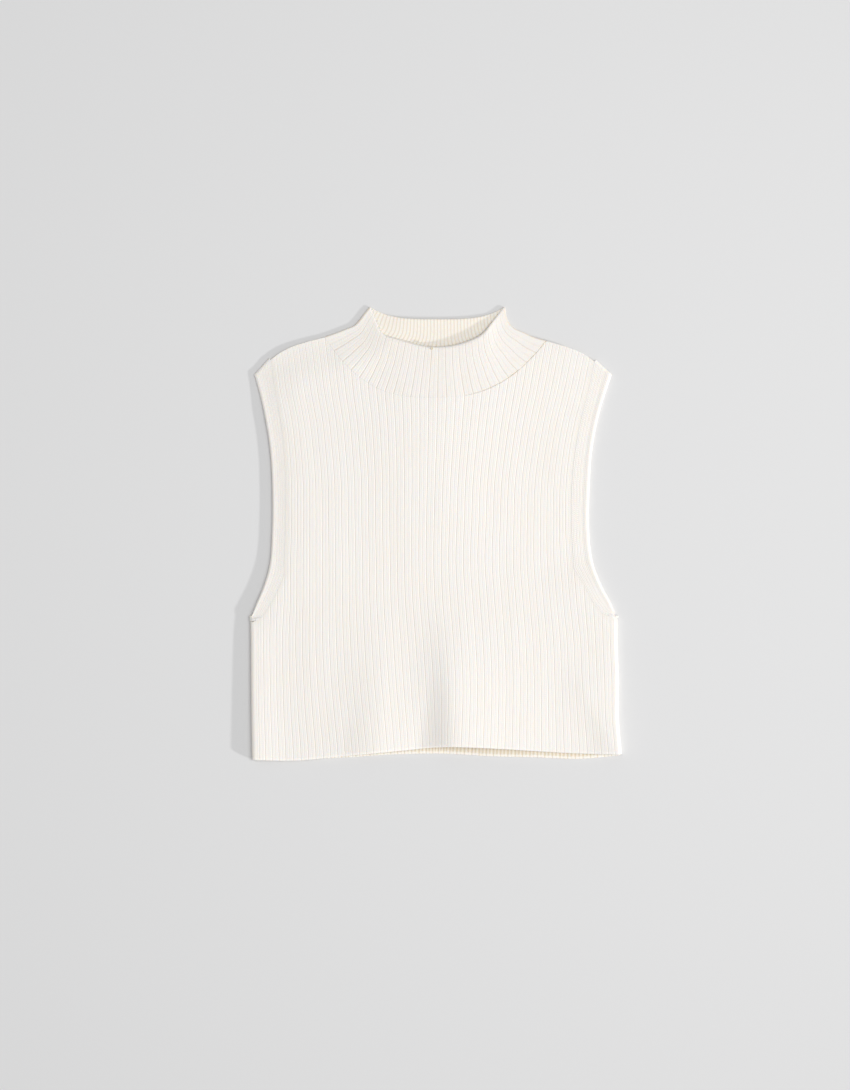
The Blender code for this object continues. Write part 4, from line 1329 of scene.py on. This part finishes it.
def stitch_height(nodes, wale, course):
    """The relief of plain stitches: in each wale two plump legs that meet in a V, course over course."""
    across = nodes.math("FRACT", wale)
    from_middle = nodes.math("MULTIPLY", nodes.math("ABSOLUTE", nodes.math("SUBTRACT", across, 0.5)), 2.0)
    phase = nodes.math("SUBTRACT", course, nodes.math("MULTIPLY", from_middle, STITCH_LEAN))
    wave = nodes.math("COSINE", nodes.math("MULTIPLY", phase, tau))
    leg = nodes.math("SINE", nodes.math("MULTIPLY", from_middle, pi))
    leg = nodes.math("POWER", nodes.math("MAXIMUM", leg, 0.0), LEG_POWER)
    wave = nodes.math("MULTIPLY_ADD", wave, LEG_WAVE, LEG_EVEN)
    return nodes.math("MULTIPLY", wave, leg)


def knit_material(name, colour, groove, bump):
    """Soft knit, darker in its grooves and warmer on its inside, both as painted shade, with stitches as fine
    relief.
    """
    material = bpy.data.materials.new(name)
    nodes = Nodes(material)
    shader = nodes.shader
    nodes.set(KNIT_SURFACE)
    place = nodes.add("ShaderNodeUVMap", uv_map="knit").outputs["UV"]
    split = nodes.add("ShaderNodeSeparateXYZ")
    nodes.link(place, split.inputs[0])
    position = nodes.add("ShaderNodeTexCoord").outputs["Object"]
    relief = nodes.add("ShaderNodeAttribute", attribute_name="relief").outputs["Fac"]
    # Painted shade: the colour turns to the groove's colour as the relief sinks, and to the inside's warmer
    # painted shade where the inside attribute is set.
    depth = nodes.math("DIVIDE", nodes.math("SUBTRACT", 1.0, relief), GROOVE_DEPTH)
    shade = nodes.math("SUBTRACT", 1.0, nodes.math("MINIMUM", nodes.math("MAXIMUM", depth, 0.0), 1.0))
    patchy = nodes.noise(position, PATCH_SCALE, PATCH_DETAIL)
    warm, cool = (tuple(value * factor for value, factor in zip(colour, cast)) for cast in (WARM, COOL))
    base = nodes.mix(patchy, warm, cool)
    outside = nodes.mix(shade, groove, base)
    inside = nodes.mix(shade, INSIDE_GROOVE_SHADE_COLOUR, INSIDE_SHADE_COLOUR)
    inside_shade_share = nodes.add("ShaderNodeAttribute", attribute_name="inside").outputs["Fac"]
    nodes.link(nodes.mix(inside_shade_share, outside, inside), shader.inputs["Base Color"])
    stitches = stitch_height(nodes, split.outputs[0], split.outputs[1])
    fibres = nodes.noise(position, FIBRE_SCALE)
    height = nodes.math("MULTIPLY_ADD", fibres, FIBRE_SHARE, stitches)
    node = nodes.add("ShaderNodeBump")
    node.inputs["Strength"].default_value = bump
    node.inputs["Distance"].default_value = BUMP_REACH * MM
    nodes.link(height, node.inputs["Height"])
    nodes.link(node.outputs["Normal"], shader.inputs["Normal"])
    return material


# ---------------------------------------------------------------- the stage

PHOTO_SCALE = 1.11  # millimetres to a pixel
PHOTO_SIZE = (850, 1090)
PHOTO_MIDDLE = (-12.77, 239.1)  # the pattern's point at the middle of the photograph
LENS = 100.0
SENSOR = 36.0
KEY_ELEVATION = 15.5
KEY_AZIMUTH = -23.0  # the key light comes from the right and a little from the hem
KEY_SOFTNESS = 2.6
KEY_STRENGTH = 1.85
KEY_DISTANCE = 3.0
Fill = namedtuple("Fill", "name power azimuth elevation distance size")
FILLS = (
    Fill("side_fill", 20.6, 0.0, 66.0, 2.5, 1.4),
    Fill("top_fill", 19.5, 90.0, 88.0, 3.6, 2.4),
)
WORLD_STRENGTH = 0.48
FLOOR_SIZE = 6.0
FLOOR_COLOUR = (0.711, 0.711, 0.713)
FLOOR_SURFACE = {
    "Base Color": (*FLOOR_COLOUR, 1),
    "Roughness": 0.9,
    "Specular IOR Level": 0.1,
}


def add_camera(origin):
    camera = bpy.data.objects.new("camera", bpy.data.cameras.new("camera"))
    camera.data.lens = LENS
    camera.data.sensor_width = SENSOR
    distance = PHOTO_SIZE[1] * PHOTO_SCALE * LENS / SENSOR
    camera.location = Vector((*PHOTO_MIDDLE, distance + LAY)) * MM + Vector(origin)
    bpy.context.scene.collection.objects.link(camera)
    bpy.context.scene.camera = camera


def add_light(name, kind, strength, direction, distance, **settings):
    """A light that shines on the middle of the top from an azimuth and an elevation."""
    light = bpy.data.lights.new(name, kind)
    light.energy = strength
    for key, value in settings.items():
        setattr(light, key, value)
    lamp = bpy.data.objects.new(name, light)
    azimuth, elevation = (radians(angle) for angle in direction)
    back = Vector((cos(azimuth) * cos(elevation), sin(azimuth) * cos(elevation), sin(elevation)))
    lamp.location = back * distance
    lamp.rotation_euler = back.to_track_quat("Z", "Y").to_euler()
    lamp.visible_camera = False
    bpy.context.scene.collection.objects.link(lamp)


def add_lights():
    key_direction = (KEY_AZIMUTH, KEY_ELEVATION)
    add_light("key", "SUN", KEY_STRENGTH, key_direction, KEY_DISTANCE, angle=radians(KEY_SOFTNESS))
    for fill in FILLS:
        direction = (fill.azimuth, fill.elevation)
        add_light(fill.name, "AREA", fill.power, direction, fill.distance, shape="DISK", size=fill.size)
    world = bpy.data.worlds.new("studio")
    world.use_nodes = True
    background = world.node_tree.nodes["Background"]
    background.inputs["Color"].default_value = (1.0, 1.0, 1.0, 1)
    background.inputs["Strength"].default_value = WORLD_STRENGTH
    bpy.context.scene.world = world


def add_floor():
    bpy.ops.mesh.primitive_plane_add(size=FLOOR_SIZE)
    floor = bpy.context.object
    floor.name = "floor"
    material = bpy.data.materials.new("pale_floor")
    Nodes(material).set(FLOOR_SURFACE)
    floor.data.materials.append(material)


RIGHT_SIDE_FOOT = 6.9  # height of the hem at the right side
SIDE_SAMPLES = 200


def pattern_origin():
    """Where the pattern's own origin lies in the frame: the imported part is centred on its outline."""
    collar_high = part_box("collar")[1]
    tip = max(COLLAR_FRONT_EDGE[0][1], COLLAR_FRONT_EDGE[-1][1])
    front_low, front_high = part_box("front_panel")
    heights = np.linspace(0.0, UNDERARM_LEFT[-1], SIDE_SAMPLES)
    right_heights = heights[heights > RIGHT_SIDE_FOOT]
    middle = (rib_x(-SIDE_RIBS, heights).min() + rib_x(SIDE_RIBS, right_heights).max()) / 2
    return np.array([(front_low.x + front_high.x) / 2 - middle * MM, collar_high.y - tip * MM, 0.0])


def main():
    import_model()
    origin = pattern_origin()
    knit = knit_material("cream_rib_knit", KNIT_COLOUR, GROOVE_SHADE_COLOUR, KNIT_BUMP)
    binding = knit_material("cream_plain_knit", BAND_COLOUR, GROOVE_SHADE_COLOUR, BAND_BUMP)
    neck_knit = knit_material("cream_collar_knit", COLLAR_COLOUR, COLLAR_GROOVE_SHADE_COLOUR, COLLAR_BUMP)
    pieces = (
        (front_panel(knit, origin), "front_panel", "rib_knit", (0.413, 0.470), 0.158, ["back_knit"]),
        (back_panel(knit, origin), "back_panel", "rib_knit", (0.413, 0.470), 0.163, ["floor"]),
        (collar(neck_knit, origin), "collar", "rib_knit", (0.40, 0.06), 0.0225, ["back_knit"]),
        (armhole_band("band_left_knit", -1, binding, origin), "armhole_band_left", "armhole_binding",
         (0.60, 0.016), None, ["back_knit"]),
        (armhole_band("band_right_knit", 1, binding, origin), "armhole_band_right", "armhole_binding",
         (0.60, 0.016), None, ["back_knit"]),
    )
    add_floor()
    yarn = edge_yarn(knit, origin)
    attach(yarn, "root")
    for piece, node, slot, flat, area, rests_on in pieces:
        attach(piece, "root")
        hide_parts(node)
    add_camera(origin)
    add_lights()
    bpy.context.scene.view_settings.view_transform = "Standard"


main()
